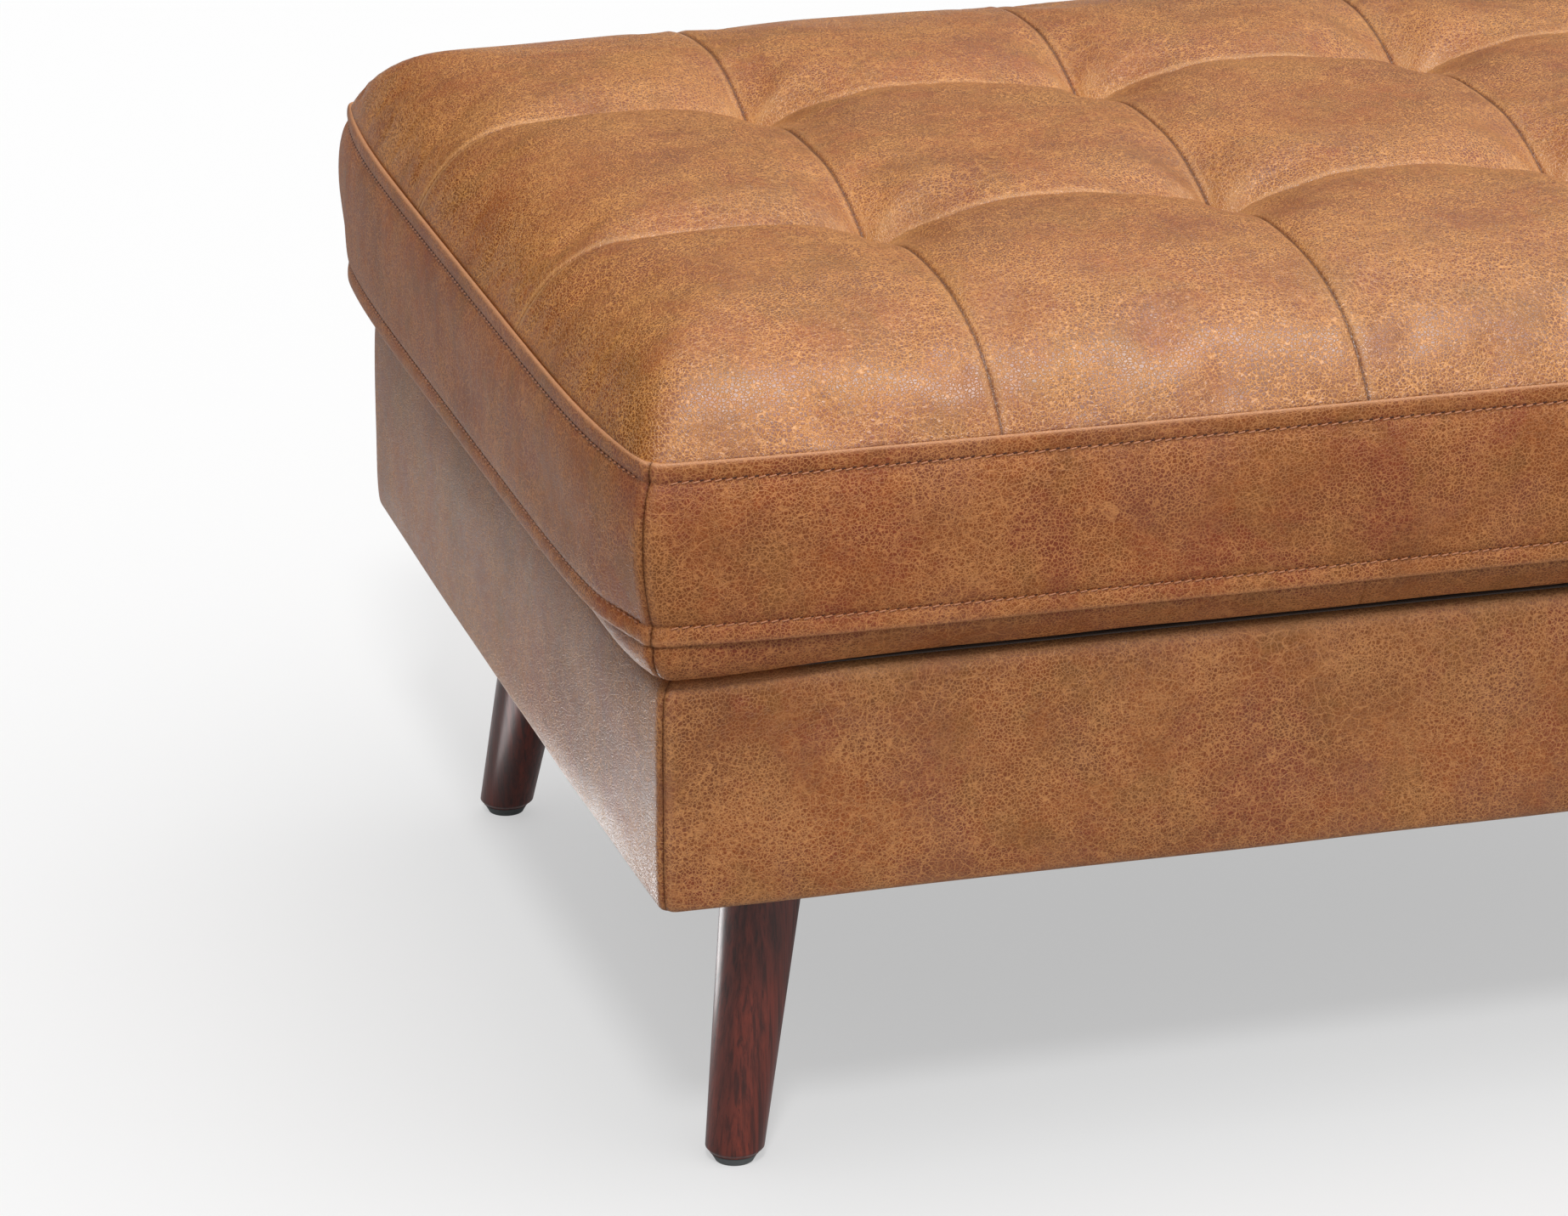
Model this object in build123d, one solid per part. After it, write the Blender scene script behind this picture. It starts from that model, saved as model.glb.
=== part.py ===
from build123d import *
import math
import os

# Leather ottoman: a tufted box cushion that lifts off an upholstered base on four splayed legs.
# Millimetres. +Z is up, +X runs along the length and -Y is the front.
# The origin is on the floor under the centre.

# Cushion cover
cushion_width = 906.0
cushion_depth = 649.0
side_bow = 7.0
front_bow = 4.0
leather = 1.4
boxing_height = 91.0
boxing_bulge = 4.6
bulge_rise_share = 0.3
flange_width = 7.0
flange_proud = 1.2
lip_stand = 2.2
lower_band_height = 22.0
lower_band_gap = 1.0
lower_band_inset = 8.0
lower_band_seam_from_middle = 93.0

# Tufted top: rises are measured up from the seam that joins the top panel to its boxing
inner_cells = 3
steps_per_cell = 6
tuft_pitch_x_share = 0.2053
tuft_pitch_y_share = 0.3328
top_rim = 4.0
crown_rise = 57.0
foot_run = 12.0
shoulder_run = 42.0
end_crest_share = 0.56
outer_crest_share = 0.42
end_fall_share = 0.35

# Rise of each section at the foot, the shoulder, the outer crest, the tuft row and the middle crest
section_rise_shares = {
    "end": (0.02, 0.02, 0.02, 0.02, 0.02),
    "end_foot": (0.2, 0.36, 0.44, 0.42, 0.45),
    "end_shoulder": (0.3, 0.6, 0.75, 0.65, 0.77),
    "end_crest": (0.35, 0.7, 0.92, 0.72, 0.94),
    "seam": (0.33, 0.59, 0.83, 0.52, 0.91),
    "crown": (0.36, 0.73, 1, 0.84, 1),
}

# Cushion filling
foam_side_gap = 6.0
foam_bevel = 14.0
panel_backing = 5.0
fibre_thickness = 12.0
underside_cloth = 1.2
underside_lift = 0.6
tuft_strap_width = 6.0
tuft_strap_thickness = 1.0
tuft_toggle_length = 26.0
tuft_toggle_width = 8.0
tuft_toggle_thickness = 3.0
slot_clearance = 0.4

# Base
base_step_in_x = 8.0
base_step_in_y = 12.0
base_bottom = 167.0
base_height = 122.0
base_top_round = 10.0
base_bottom_round = 5.0
top_flap = 62.0
bottom_flap = 34.0
cushion_gap = 1.0
padding = 8.0
deck_pad_thickness = 8.0
deck_pad_bevel = 4.0
deck_cloth_thickness = 1.0
dust_cover_thickness = 0.6
dust_cover_overlap = 14.0
dust_cover_window_gap = 1.0

# Wooden frame
rail_thickness = 22.0
centre_rail_height = 64.0
corner_block_leg = 62.0
corner_block_height = 60.0
leg_block_size = 116.0
leg_block_thickness = 28.0

# Webbing
webbing_thickness = 1.2
webbing_width = 60.0
long_web_count = 4
cross_web_count = 6

# Hook and loop fastening between the deck and the cushion
tape_width = 26.0
tape_length = 420.0
hook_tape_thickness = 0.9
tape_from_middle_share = 0.2928

# Legs
leg_inset_x = 55.5
leg_inset_y = 69.5
leg_splay_share = 0.15
leg_foot_diameter = 29.5
leg_top_diameter = 43.0
leg_foot_chamfer = 2.5
glide_thickness = 5.0
glide_top_diameter = 24.0
glide_tread_diameter = 20.5
glide_spigot_diameter = 8.0
glide_spigot_length = 18.0
leg_plate_size = 66.0
leg_plate_thickness = 2.5
leg_plate_corner = 6.0
leg_plate_boss_diameter = 40.0
leg_plate_boss_least = 1.5
hanger_bolt_diameter = 8.0
hanger_bolt_in_leg = 34.0
hanger_bolt_in_block = 22.0

# Clearances
fit = 0.3
bore_fit = 0.05
overrun = 10.0

# Levels and places worked out from the sizes above
base_width = cushion_width - 2 * base_step_in_x
base_depth = cushion_depth - 2 * base_step_in_y
base_top = base_bottom + base_height
cushion_bottom = base_top + cushion_gap
lower_flange = cushion_bottom + lower_band_height + lower_band_gap
lip_height = lower_flange + boxing_height
panel_seam = lip_height - lip_stand
underside_bottom = cushion_bottom + underside_lift
underside_top = underside_bottom + underside_cloth
panel_floor = panel_seam - panel_backing
rail_bottom = base_bottom + leather + fit
deck_cloth_top = base_top - leather + deck_cloth_thickness - fit
deck_pad_top = deck_cloth_top - deck_cloth_thickness
webbing_top = deck_pad_top - deck_pad_thickness - fit
rail_top = webbing_top - 2 * webbing_thickness
rail_height = rail_top - rail_bottom
padding_outer_x = base_width / 2 - leather - fit
padding_outer_y = base_depth / 2 - leather - fit
rail_outer_x = padding_outer_x - padding - fit
rail_outer_y = padding_outer_y - padding - fit
rail_inner_x = rail_outer_x - rail_thickness
rail_inner_y = rail_outer_y - rail_thickness
tuft_pitch_x = cushion_width * tuft_pitch_x_share
tuft_pitch_y = cushion_depth * tuft_pitch_y_share
tuft_xs = [(i - inner_cells / 2) * tuft_pitch_x for i in range(inner_cells + 1)]
tuft_ys = [-tuft_pitch_y / 2, tuft_pitch_y / 2]
tuft_rise = crown_rise * section_rise_shares["seam"][3]
corners = [(-1, -1), (1, -1), (-1, 1), (1, 1)]


def save(shape, name):
    export_step(shape, f"parts/{name}.step")


def slab(x_low, x_high, y_low, y_high, z_low, z_high):
    middle = ((x_low + x_high) / 2, (y_low + y_high) / 2, (z_low + z_high) / 2)
    return Pos(*middle) * Box(x_high - x_low, y_high - y_low, z_high - z_low)


def post(x, y, z_low, z_high, radius):
    return Pos(x, y, z_low) * Cylinder(radius, z_high - z_low, align=(Align.CENTER, Align.CENTER, Align.MIN))


def group(solids):
    """Separate solids that share one node."""
    return Compound(children=[s for shape in solids for s in shape.solids()])


# Plan outline: four sides that bow out between drawn-in corners

def cushion_outline(offset, z):
    half_x = cushion_width / 2 + offset
    half_y = cushion_depth / 2 + offset
    front = ThreePointArc((-half_x, -half_y), (0, -half_y - front_bow), (half_x, -half_y))
    right = ThreePointArc((half_x, -half_y), (half_x + side_bow, 0), (half_x, half_y))
    back = ThreePointArc((half_x, half_y), (0, half_y + front_bow), (-half_x, half_y))
    left = ThreePointArc((-half_x, half_y), (-half_x - side_bow, 0), (-half_x, -half_y))
    return Pos(0, 0, z) * make_face(Wire([front, right, back, left]))


def walls(levels, inner_levels):
    """A ring of sheet between two stacks of outlines, each given as offsets and heights."""
    outer = loft([cushion_outline(*level) for level in levels], ruled=True)
    return outer - loft([cushion_outline(*level) for level in inner_levels], ruled=True)


def mitred(ring, side, half_x, half_y):
    """The quarter of a ring that belongs to one side, cut at the corners' mitres."""
    reach = half_x + half_y
    inside = half_x - half_y
    tall = 2 * lip_height
    out = [(-half_x, -half_y), (-half_x - reach, -half_y - reach), (half_x + reach, -half_y - reach),
           (half_x, -half_y), (inside, 0), (-inside, 0)]
    end = [(half_x, -half_y), (half_x + reach, -half_y - reach), (half_x + reach, half_y + reach),
           (half_x, half_y), (inside, 0)]
    points, turn = {"front": (out, 0), "back": (out, 180), "right": (end, 0), "left": (end, 180)}[side]
    wedge = extrude(make_face(Polyline(*points, close=True)), tall)
    return ring & (Rot(0, 0, turn) * wedge)


def boxing_ring():
    """Padded boxing: flat behind, bulged in front, with a folded flange standing proud along both edges."""
    rise = boxing_height * bulge_rise_share
    bulge = [(0, lower_flange), (boxing_bulge, lower_flange + rise), (boxing_bulge, lip_height - rise),
             (0, lip_height)]
    ring = walls(bulge, [(-leather, lower_flange - overrun), (-leather, lip_height + overrun)])
    slope = boxing_bulge / rise * flange_width
    for edge_z, way in ((lip_height, -1), (lower_flange, 1)):
        seam_z = edge_z + way * flange_width
        levels = sorted([(flange_proud, edge_z), (flange_proud + slope, seam_z)], key=lambda level: level[1])
        low, high = levels[0][1], levels[1][1]
        ring = ring + walls(levels, [(-leather, low - overrun), (-leather, high + overrun)])
    return ring


def lower_band_ring():
    low, high = cushion_bottom, cushion_bottom + lower_band_height
    outer = [(-lower_band_inset - leather, low), (-leather - fit, high)]
    inner = [(offset - leather, z) for offset, z in outer]
    return walls(outer, inner)


# Tufted top, lofted from section to section along the length

def half_panel():
    return cushion_width / 2 - top_rim, cushion_depth / 2 - top_rim


def blended(first, second, share):
    """Rise shares on the way from one kind of section to another."""
    pairs = zip(section_rise_shares[first], section_rise_shares[second])
    return [a + share * (b - a) for a, b in pairs]


def quilt_section(x, rise_shares):
    """One closed section across the depth: five arcs over the top and a flat floor."""
    half_y = half_panel()[1]
    foot, shoulder, outer, row, middle = [share * crown_rise for share in rise_shares]
    edge = crown_rise * section_rise_shares["end"][0]
    y_row = tuft_pitch_y / 2
    y_foot = half_y - foot_run
    y_shoulder = half_y - shoulder_run
    y_outer = y_shoulder - outer_crest_share * (y_shoulder - y_row)
    half = [(half_y, edge), (y_foot, foot), (y_shoulder, shoulder), (y_outer, outer), (y_row, row)]
    arcs = [(-y, rise) for y, rise in half] + [(0, middle)] + half[::-1]
    top = [Vector(x, y, panel_seam + rise) for y, rise in arcs]
    if middle > edge:
        edges = [Edge.make_three_point_arc(*top[i:i + 3]) for i in range(0, len(top) - 1, 2)]
    else:
        edges = [Edge.make_line(*pair) for pair in zip(top[::2], top[2::2])]
    low = [Vector(x, point.Y, panel_floor) for point in top[::2]]
    edges += [Edge.make_line(*pair) for pair in zip(low, low[1:])]
    return Face(Wire(edges + [Edge.make_line(top[0], low[0]), Edge.make_line(top[-1], low[-1])]))


def quilt():
    """The tufted crown, lofted along the length through a section at every step of each cell."""
    half_x = half_panel()[0]
    first = tuft_xs[0]
    crest = -half_x + end_crest_share * (half_x + first)
    end_cell = [(-half_x, "end"), (-half_x + foot_run, "end_foot"), (-half_x + shoulder_run, "end_shoulder"),
                (crest, "end_crest")]
    stations = [(x, section_rise_shares[kind]) for x, kind in end_cell]
    stations.append(((crest + first) / 2, blended("end_crest", "seam", end_fall_share)))
    ends = [(-x, shares) for x, shares in reversed(stations)]
    for i in range(inner_cells * steps_per_cell + 1):
        swell = abs(math.sin(math.pi * i / steps_per_cell))
        stations.append((first + i * tuft_pitch_x / steps_per_cell, blended("seam", "crown", swell)))
    return loft([quilt_section(x, shares) for x, shares in stations + ends], ruled=True)


def top_panel():
    """Tufted leather top quilted to its fibre, with a flat rim out to the boxing's seam."""
    half_x, half_y = half_panel()
    rim = extrude(cushion_outline(-leather - fit, panel_seam - leather), leather)
    hole = slab(-half_x, half_x, -half_y, half_y, panel_seam - leather - overrun, panel_seam + overrun)
    panel = quilt().fuse(rim - hole)
    top = panel_seam + tuft_rise - leather
    return panel - tuft_straps(panel_floor - overrun, top, slot_clearance)


def tuft_places():
    return [(x, y) for x in tuft_xs for y in tuft_ys]


def centred_slab(x, y, length, width, z_low, z_high):
    return slab(x - length / 2, x + length / 2, y - width / 2, y + width / 2, z_low, z_high)


def tuft_straps(z_low, z_high, grow=0):
    """The flat straps that draw the top down, or with a growth the slots that they run in."""
    width = tuft_strap_width + 2 * grow
    thickness = tuft_strap_thickness + 2 * grow
    return [centred_slab(x, y, width, thickness, z_low, z_high) for x, y in tuft_places()]


def tuft_toggles(z_low, z_high, grow=0):
    length = tuft_toggle_length + 2 * grow
    width = tuft_toggle_width + 2 * grow
    return [centred_slab(x, y, length, width, z_low, z_high) for x, y in tuft_places()]


def fibre_layer():
    """Flat wrap between the foam and the quilted top."""
    half_x = cushion_width / 2 - leather - foam_side_gap
    half_y = cushion_depth / 2 - leather - foam_side_gap
    low, high = panel_floor - fit - fibre_thickness, panel_floor - fit
    wrap = slab(-half_x, half_x, -half_y, half_y, low, high)
    return wrap - tuft_straps(low - overrun, high + overrun, slot_clearance)


def foam_core():
    low = underside_top + fit
    high = panel_floor - fibre_thickness - 2 * fit
    half_x = cushion_width / 2 - lower_band_inset - leather - foam_side_gap
    half_y = cushion_depth / 2 - lower_band_inset - leather - foam_side_gap
    core = slab(-half_x, half_x, -half_y, half_y, low, high)
    core = chamfer(core.faces().sort_by(Axis.Z)[-1].edges(), foam_bevel)
    core = core - tuft_straps(low - overrun, high + overrun, slot_clearance)
    return core - tuft_toggles(low - overrun, low + tuft_toggle_thickness, slot_clearance)


def build_cushion():
    half_x, half_y = cushion_width / 2, cushion_depth / 2
    boxing = boxing_ring()
    band = lower_band_ring()
    for side in ("front", "back", "left", "right"):
        save(mitred(boxing, side, half_x, half_y), f"boxing_{side}")
        if side != "front":
            save(mitred(band, side, half_x, half_y), f"lower_band_{side}")
    front_band = mitred(band, "front", half_x, half_y)
    left_side = slab(-cushion_width, -lower_band_seam_from_middle, -cushion_depth, 0, 0, lip_height)
    save(front_band & left_side, "lower_band_front_left")
    save(front_band - left_side, "lower_band_front_right")
    save(top_panel(), "top_panel")
    save(fibre_layer(), "fibre_layer")
    save(foam_core(), "foam_core")
    underside_offset = -lower_band_inset - 2 * leather - fit
    save(extrude(cushion_outline(underside_offset, underside_bottom), underside_cloth), "underside_cloth")
    toggle_top = underside_top + tuft_toggle_thickness
    strap_top = panel_seam + tuft_rise - leather - fit
    save(group(tuft_toggles(underside_top, toggle_top)), "tuft_toggles")
    save(group(tuft_straps(toggle_top, strap_top)), "tuft_straps")
    tape_low = deck_cloth_top + hook_tape_thickness + fit
    save(group([tape(way, tape_low, underside_bottom) for way in (-1, 1)]), "loop_tapes")


def tape(way, low, high):
    y = way * cushion_depth * tape_from_middle_share
    return slab(-tape_length / 2, tape_length / 2, y - tape_width / 2, y + tape_width / 2, low, high)


# Base: leather panels and padding on a wooden frame

def base_block(inset):
    half_x = base_width / 2 - inset
    half_y = base_depth / 2 - inset
    block = slab(-half_x, half_x, -half_y, half_y, base_bottom + inset, base_top - inset)
    block = fillet(block.faces().sort_by(Axis.Z)[-1].edges(), base_top_round - inset)
    return fillet(block.faces().sort_by(Axis.Z)[0].edges(), base_bottom_round - inset)


def opening(flap, low, high):
    half_x = base_width / 2 - flap
    half_y = base_depth / 2 - flap
    return slab(-half_x, half_x, -half_y, half_y, low, high)


def base_cover():
    """Leather round the base: down the sides, over the deck's edge and under the rails."""
    middle = base_bottom + base_height / 2
    shell = base_block(0) - base_block(leather)
    shell = shell - opening(top_flap, middle, base_top + overrun)
    return shell - opening(bottom_flap, base_bottom - overrun, middle)


def padding_board(side):
    """Padding between one rail and its leather, as tall as the flat between the two rolled edges."""
    low, high = base_bottom + base_bottom_round, base_top - base_top_round
    if side in ("front", "back"):
        way = -1 if side == "front" else 1
        near, far = sorted((way * (rail_outer_y + fit), way * padding_outer_y))
        return slab(-padding_outer_x, padding_outer_x, near, far, low, high)
    way = -1 if side == "left" else 1
    near, far = sorted((way * (rail_outer_x + fit), way * padding_outer_x))
    return slab(near, far, -rail_outer_y, rail_outer_y, low, high)


def leg_frame(x_way, y_way):
    """Place and lean of one leg: its local Z runs up the leg from the middle of the foot."""
    foot = Vector(x_way * (base_width / 2 - leg_inset_x), y_way * (base_depth / 2 - leg_inset_y), 0)
    up = Vector(-x_way * leg_splay_share, -y_way * leg_splay_share, 1)
    across = Vector(x_way, y_way, 0).cross(Vector(0, 0, 1))
    return Plane(origin=foot, x_dir=across, z_dir=up)


def lean():
    """Length along the leg for each unit of height, and the lean's sine."""
    stretch = math.sqrt(1 + 2 * leg_splay_share ** 2)
    return stretch, math.sqrt(2) * leg_splay_share / stretch


plate_top = rail_bottom - fit
plate_bottom = plate_top - leg_plate_thickness
stretch_share, sine_share = lean()
boss_depth = leg_plate_boss_least + leg_top_diameter / 2 * sine_share
leg_length = (plate_bottom - boss_depth) * stretch_share
bolt_end = leg_length + (boss_depth + leg_plate_thickness) * stretch_share + hanger_bolt_in_block


def leg_axis_at(x_way, y_way, z):
    foot_x = x_way * (base_width / 2 - leg_inset_x)
    foot_y = y_way * (base_depth / 2 - leg_inset_y)
    return foot_x - x_way * leg_splay_share * z, foot_y - y_way * leg_splay_share * z


def bolt_bar(x_way, y_way, low, high, radius):
    bar = Cylinder(radius, high - low, align=(Align.CENTER, Align.CENTER, Align.MIN))
    return leg_frame(x_way, y_way) * Pos(0, 0, low) * bar


def leg(x_way, y_way):
    foot_radius = leg_foot_diameter / 2
    top_radius = leg_top_diameter / 2
    grow = (top_radius - foot_radius) / leg_length
    low = -overrun
    half = [(0, low), (foot_radius + grow * low, low), (top_radius, leg_length), (0, leg_length)]
    profile = make_face(Polyline(*half, close=True))
    body = leg_frame(x_way, y_way) * revolve(Rot(90, 0, 0) * profile, Axis.Z)
    body = body - slab(-base_width, base_width, -base_depth, base_depth, -cushion_depth, glide_thickness)
    body = chamfer(body.faces().sort_by(Axis.Z)[0].edges(), leg_foot_chamfer)
    bore_radius = hanger_bolt_diameter / 2 + bore_fit
    bolt = bolt_bar(x_way, y_way, leg_length - hanger_bolt_in_leg, leg_length + overrun, bore_radius)
    x, y = leg_axis_at(x_way, y_way, glide_thickness)
    spigot_top = glide_thickness + glide_spigot_length
    return body - bolt - post(x, y, 0, spigot_top + bore_fit, glide_spigot_diameter / 2 + bore_fit)


def glide(x_way, y_way):
    """Moulded glide: a tapered tread under the leg and a spigot pushed up into it."""
    x, y = leg_axis_at(x_way, y_way, glide_thickness)
    tread = Cone(glide_tread_diameter / 2, glide_top_diameter / 2, glide_thickness,
                 align=(Align.CENTER, Align.CENTER, Align.MIN))
    spigot_top = glide_thickness + glide_spigot_length
    return Pos(x, y, 0) * tread + post(x, y, glide_thickness, spigot_top, glide_spigot_diameter / 2)


def leg_plate(x_way, y_way):
    """Steel plate with a boss whose lower face is square to the leg."""
    x, y = leg_axis_at(x_way, y_way, plate_bottom)
    plate = centred_slab(x, y, leg_plate_size, leg_plate_size, plate_bottom, plate_top)
    plate = chamfer(plate.edges().filter_by(Axis.Z), leg_plate_corner)
    boss = bolt_bar(x_way, y_way, leg_length, leg_length + 2 * boss_depth, leg_plate_boss_diameter / 2)
    boss = boss & slab(-base_width, base_width, -base_depth, base_depth, 0, plate_top)
    bore_radius = hanger_bolt_diameter / 2 + bore_fit
    return plate + boss - bolt_bar(x_way, y_way, leg_length - overrun, bolt_end + overrun, bore_radius)


def hanger_bolt(x_way, y_way):
    return bolt_bar(x_way, y_way, leg_length - hanger_bolt_in_leg, bolt_end, hanger_bolt_diameter / 2)


def leg_block(x_way, y_way):
    x_out, y_out = x_way * (rail_inner_x - fit), y_way * (rail_inner_y - fit)
    x_low, x_high = sorted((x_out, x_out - x_way * leg_block_size))
    y_low, y_high = sorted((y_out, y_out - y_way * leg_block_size))
    block = slab(x_low, x_high, y_low, y_high, rail_bottom, rail_bottom + leg_block_thickness)
    return block - bolt_bar(x_way, y_way, leg_length, bolt_end + fit, hanger_bolt_diameter / 2 + bore_fit)


def corner_block(x_way, y_way):
    x, y = x_way * (rail_inner_x - fit), y_way * (rail_inner_y - fit)
    along_x, along_y = (x - x_way * corner_block_leg, y), (x, y - y_way * corner_block_leg)
    triangle = make_face(Polyline((x, y), along_x, along_y, close=True))
    top = rail_top - fit
    return Pos(0, 0, top - corner_block_height) * extrude(triangle, corner_block_height)


def dust_cover():
    """Bottom cloth over the inner edges of the leather flaps, with a window round each leg plate."""
    half_x = base_width / 2 - bottom_flap + dust_cover_overlap
    half_y = base_depth / 2 - bottom_flap + dust_cover_overlap
    low = base_bottom - dust_cover_thickness
    sheet = slab(-half_x, half_x, -half_y, half_y, low, base_bottom)
    window = leg_plate_size + 2 * dust_cover_window_gap
    windows = []
    for x_way, y_way in corners:
        x, y = leg_axis_at(x_way, y_way, plate_bottom)
        windows.append(centred_slab(x, y, window, window, low - overrun, base_bottom + overrun))
    return sheet - windows


def webs(count, run_half, spread_half, z_low, lengthwise):
    """Strips of webbing, evenly spaced between the rails and long enough to lie on them."""
    strips = []
    for i in range(count):
        middle = -spread_half + (i + 0.5) * 2 * spread_half / count
        a, b = middle - webbing_width / 2, middle + webbing_width / 2
        sides = (-run_half, run_half, a, b) if lengthwise else (a, b, -run_half, run_half)
        strips.append(slab(*sides, z_low, z_low + webbing_thickness))
    return group(strips)


def build_frame():
    for name, way in (("front_rail", -1), ("back_rail", 1)):
        near, far = sorted((way * rail_inner_y, way * rail_outer_y))
        save(slab(-rail_outer_x, rail_outer_x, near, far, rail_bottom, rail_top), name)
    for name, way in (("left_rail", -1), ("right_rail", 1)):
        near, far = sorted((way * rail_inner_x, way * rail_outer_x))
        save(slab(near, far, -rail_inner_y, rail_inner_y, rail_bottom, rail_top), name)
    half = rail_thickness / 2
    low = rail_top - centre_rail_height
    save(slab(-half, half, -rail_inner_y, rail_inner_y, low, rail_top), "centre_rail")
    reach_x, reach_y = rail_outer_x - fit, rail_outer_y - fit
    save(webs(long_web_count, reach_x, rail_inner_y, rail_top, True), "long_webbing")
    save(webs(cross_web_count, reach_y, rail_inner_x, rail_top + webbing_thickness, False), "cross_webbing")


def build_base_upholstery():
    cover = base_cover()
    for side in ("front", "back", "left", "right"):
        save(mitred(cover, side, base_width / 2, base_depth / 2), f"base_cover_{side}")
        save(padding_board(side), f"padding_{side}")
    pad = slab(-rail_outer_x, rail_outer_x, -rail_outer_y, rail_outer_y, webbing_top, deck_pad_top)
    save(chamfer(pad.faces().sort_by(Axis.Z)[-1].edges(), deck_pad_bevel), "deck_pad")
    save(opening(top_flap + fit, deck_pad_top, deck_cloth_top), "deck_cloth")
    save(dust_cover(), "dust_cover")
    tape_high = deck_cloth_top + hook_tape_thickness
    save(group([tape(way, deck_cloth_top, tape_high) for way in (-1, 1)]), "hook_tapes")


def build_legs():
    """The four legs and what holds them, each kind as one group of four."""
    kinds = {"legs": leg, "glides": glide, "leg_plates": leg_plate, "leg_blocks": leg_block,
             "hanger_bolts": hanger_bolt, "corner_blocks": corner_block}
    for name, make in kinds.items():
        save(group([make(x_way, y_way) for x_way, y_way in corners]), name)


os.makedirs("parts", exist_ok=True)
build_frame()
build_base_upholstery()
build_legs()
build_cushion()
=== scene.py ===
import math
from itertools import product
import bpy
import numpy as np
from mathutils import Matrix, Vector


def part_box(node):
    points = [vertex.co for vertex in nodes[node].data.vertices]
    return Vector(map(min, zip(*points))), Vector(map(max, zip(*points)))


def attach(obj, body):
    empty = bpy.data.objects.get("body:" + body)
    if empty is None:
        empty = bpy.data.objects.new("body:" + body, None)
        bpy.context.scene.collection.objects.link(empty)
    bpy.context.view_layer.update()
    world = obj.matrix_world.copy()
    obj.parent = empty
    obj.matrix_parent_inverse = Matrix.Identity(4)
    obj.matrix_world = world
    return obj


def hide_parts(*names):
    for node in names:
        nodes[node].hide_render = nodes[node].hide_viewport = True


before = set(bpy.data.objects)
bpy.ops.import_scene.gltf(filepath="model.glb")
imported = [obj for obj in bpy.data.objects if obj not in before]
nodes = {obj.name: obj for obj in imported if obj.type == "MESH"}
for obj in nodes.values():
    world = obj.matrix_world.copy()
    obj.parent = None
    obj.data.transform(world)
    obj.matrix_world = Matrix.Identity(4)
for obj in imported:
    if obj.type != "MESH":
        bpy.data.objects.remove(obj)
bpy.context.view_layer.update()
print("frame loaded with", len(nodes), "nodes")

sideNames = ("front", "right", "back", "left")
bothWays = (-1, 1)
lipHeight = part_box("boxing_front")[1].z       # top of the cushion's standing lip
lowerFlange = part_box("boxing_front")[0].z     # free edge of the cushion's lower flange
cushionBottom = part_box("lower_band_front_left")[0].z
baseLow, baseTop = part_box("base_cover_front")[0].z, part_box("base_cover_front")[1].z


# Small tools for shapes

def mm(value):
    return value / 1000.0


def setAll(target, **settings):
    for key, value in settings.items():
        setattr(target, key, value)
    return target


def gridFaces(rows, columns, flip=False):
    corner = np.arange(rows * columns).reshape(rows, columns)
    quads = np.stack([corner[:-1, :-1], corner[:-1, 1:], corner[1:, 1:], corner[1:, :-1]], axis=-1).reshape(-1, 4)
    return (quads[:, ::-1] if flip else quads).tolist()


def ringPoints(radius, sides):
    angles = [2 * math.pi * k / sides for k in range(sides)]
    return [(radius * math.cos(angle), radius * math.sin(angle)) for angle in angles]


def ringFaces(rings, sides, flip=False):
    # walls between rings of points that follow one another
    faces = []
    for ring, k in product(range(rings - 1), range(sides)):
        a, b = ring * sides + k, ring * sides + (k + 1) % sides
        faces.append((a, a + sides, b + sides, b) if flip else (a, b, b + sides, a + sides))
    return faces


def copies(template, templateFaces, placings):
    # the same small shape again at each (axes, centre)
    points = [template @ axes + centre for axes, centre in placings]
    faces = [tuple(i * len(template) + k for k in face) for i in range(len(points)) for face in templateFaces]
    return np.concatenate(points), faces


def addObject(name, data):
    item = bpy.data.objects.new(name, data)
    bpy.context.collection.objects.link(item)
    return item


def addMesh(name, points, faces):
    mesh = bpy.data.meshes.new(name)
    mesh.from_pydata(np.asarray(points, dtype=float).reshape(-1, 3).tolist(), [], faces)
    return addObject(name, mesh)


def addPiece(name, points, faces, material, body, slotName):
    piece = addMesh(name, points, faces)
    piece.data.validate()
    piece.data.shade_smooth()
    piece.data.materials.append(material)
    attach(piece, body)
    return piece


def paintPoints(piece, name, values):
    layer = piece.data.attributes.new(name, "FLOAT", "POINT")
    layer.data.foreach_set("value", np.ascontiguousarray(values, dtype=np.float32).ravel())


def thicken(piece, thickness):
    setAll(piece.modifiers.new("thickness", "SOLIDIFY"), thickness=thickness, offset=-1, use_even_offset=False)


def smoothStep(value):
    value = np.clip(value, 0, 1)
    return value * value * (3 - 2 * value)


def near(values, centre, width):
    return np.exp(-((values - centre) / width) ** 2)


def ripple(a, b, length, seed):
    # gentle unevenness, from a few crossing waves with fixed phases
    total = np.zeros(np.broadcast(a, b).shape)
    for i in range(5):
        angle = seed * 1.7 + i * 2.4
        stretch = 2 * math.pi / (length * (0.75 + 0.17 * i))
        total = total + np.sin((a * math.cos(angle) + b * math.sin(angle)) * stretch + seed * 3.1 + i * i)
    return total / 5


# Small tools for finishes

def paint(red, green, blue):
    # 0-255 screen colour to the linear colour that the shaders use
    linear = [((c / 255 + 0.055) / 1.055) ** 2.4 if c > 10 else c / 255 / 12.92 for c in (red, green, blue)]
    return (*linear, 1)


def dimmed(color, share):
    return (*(c * share for c in color[:3]), 1)


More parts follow.
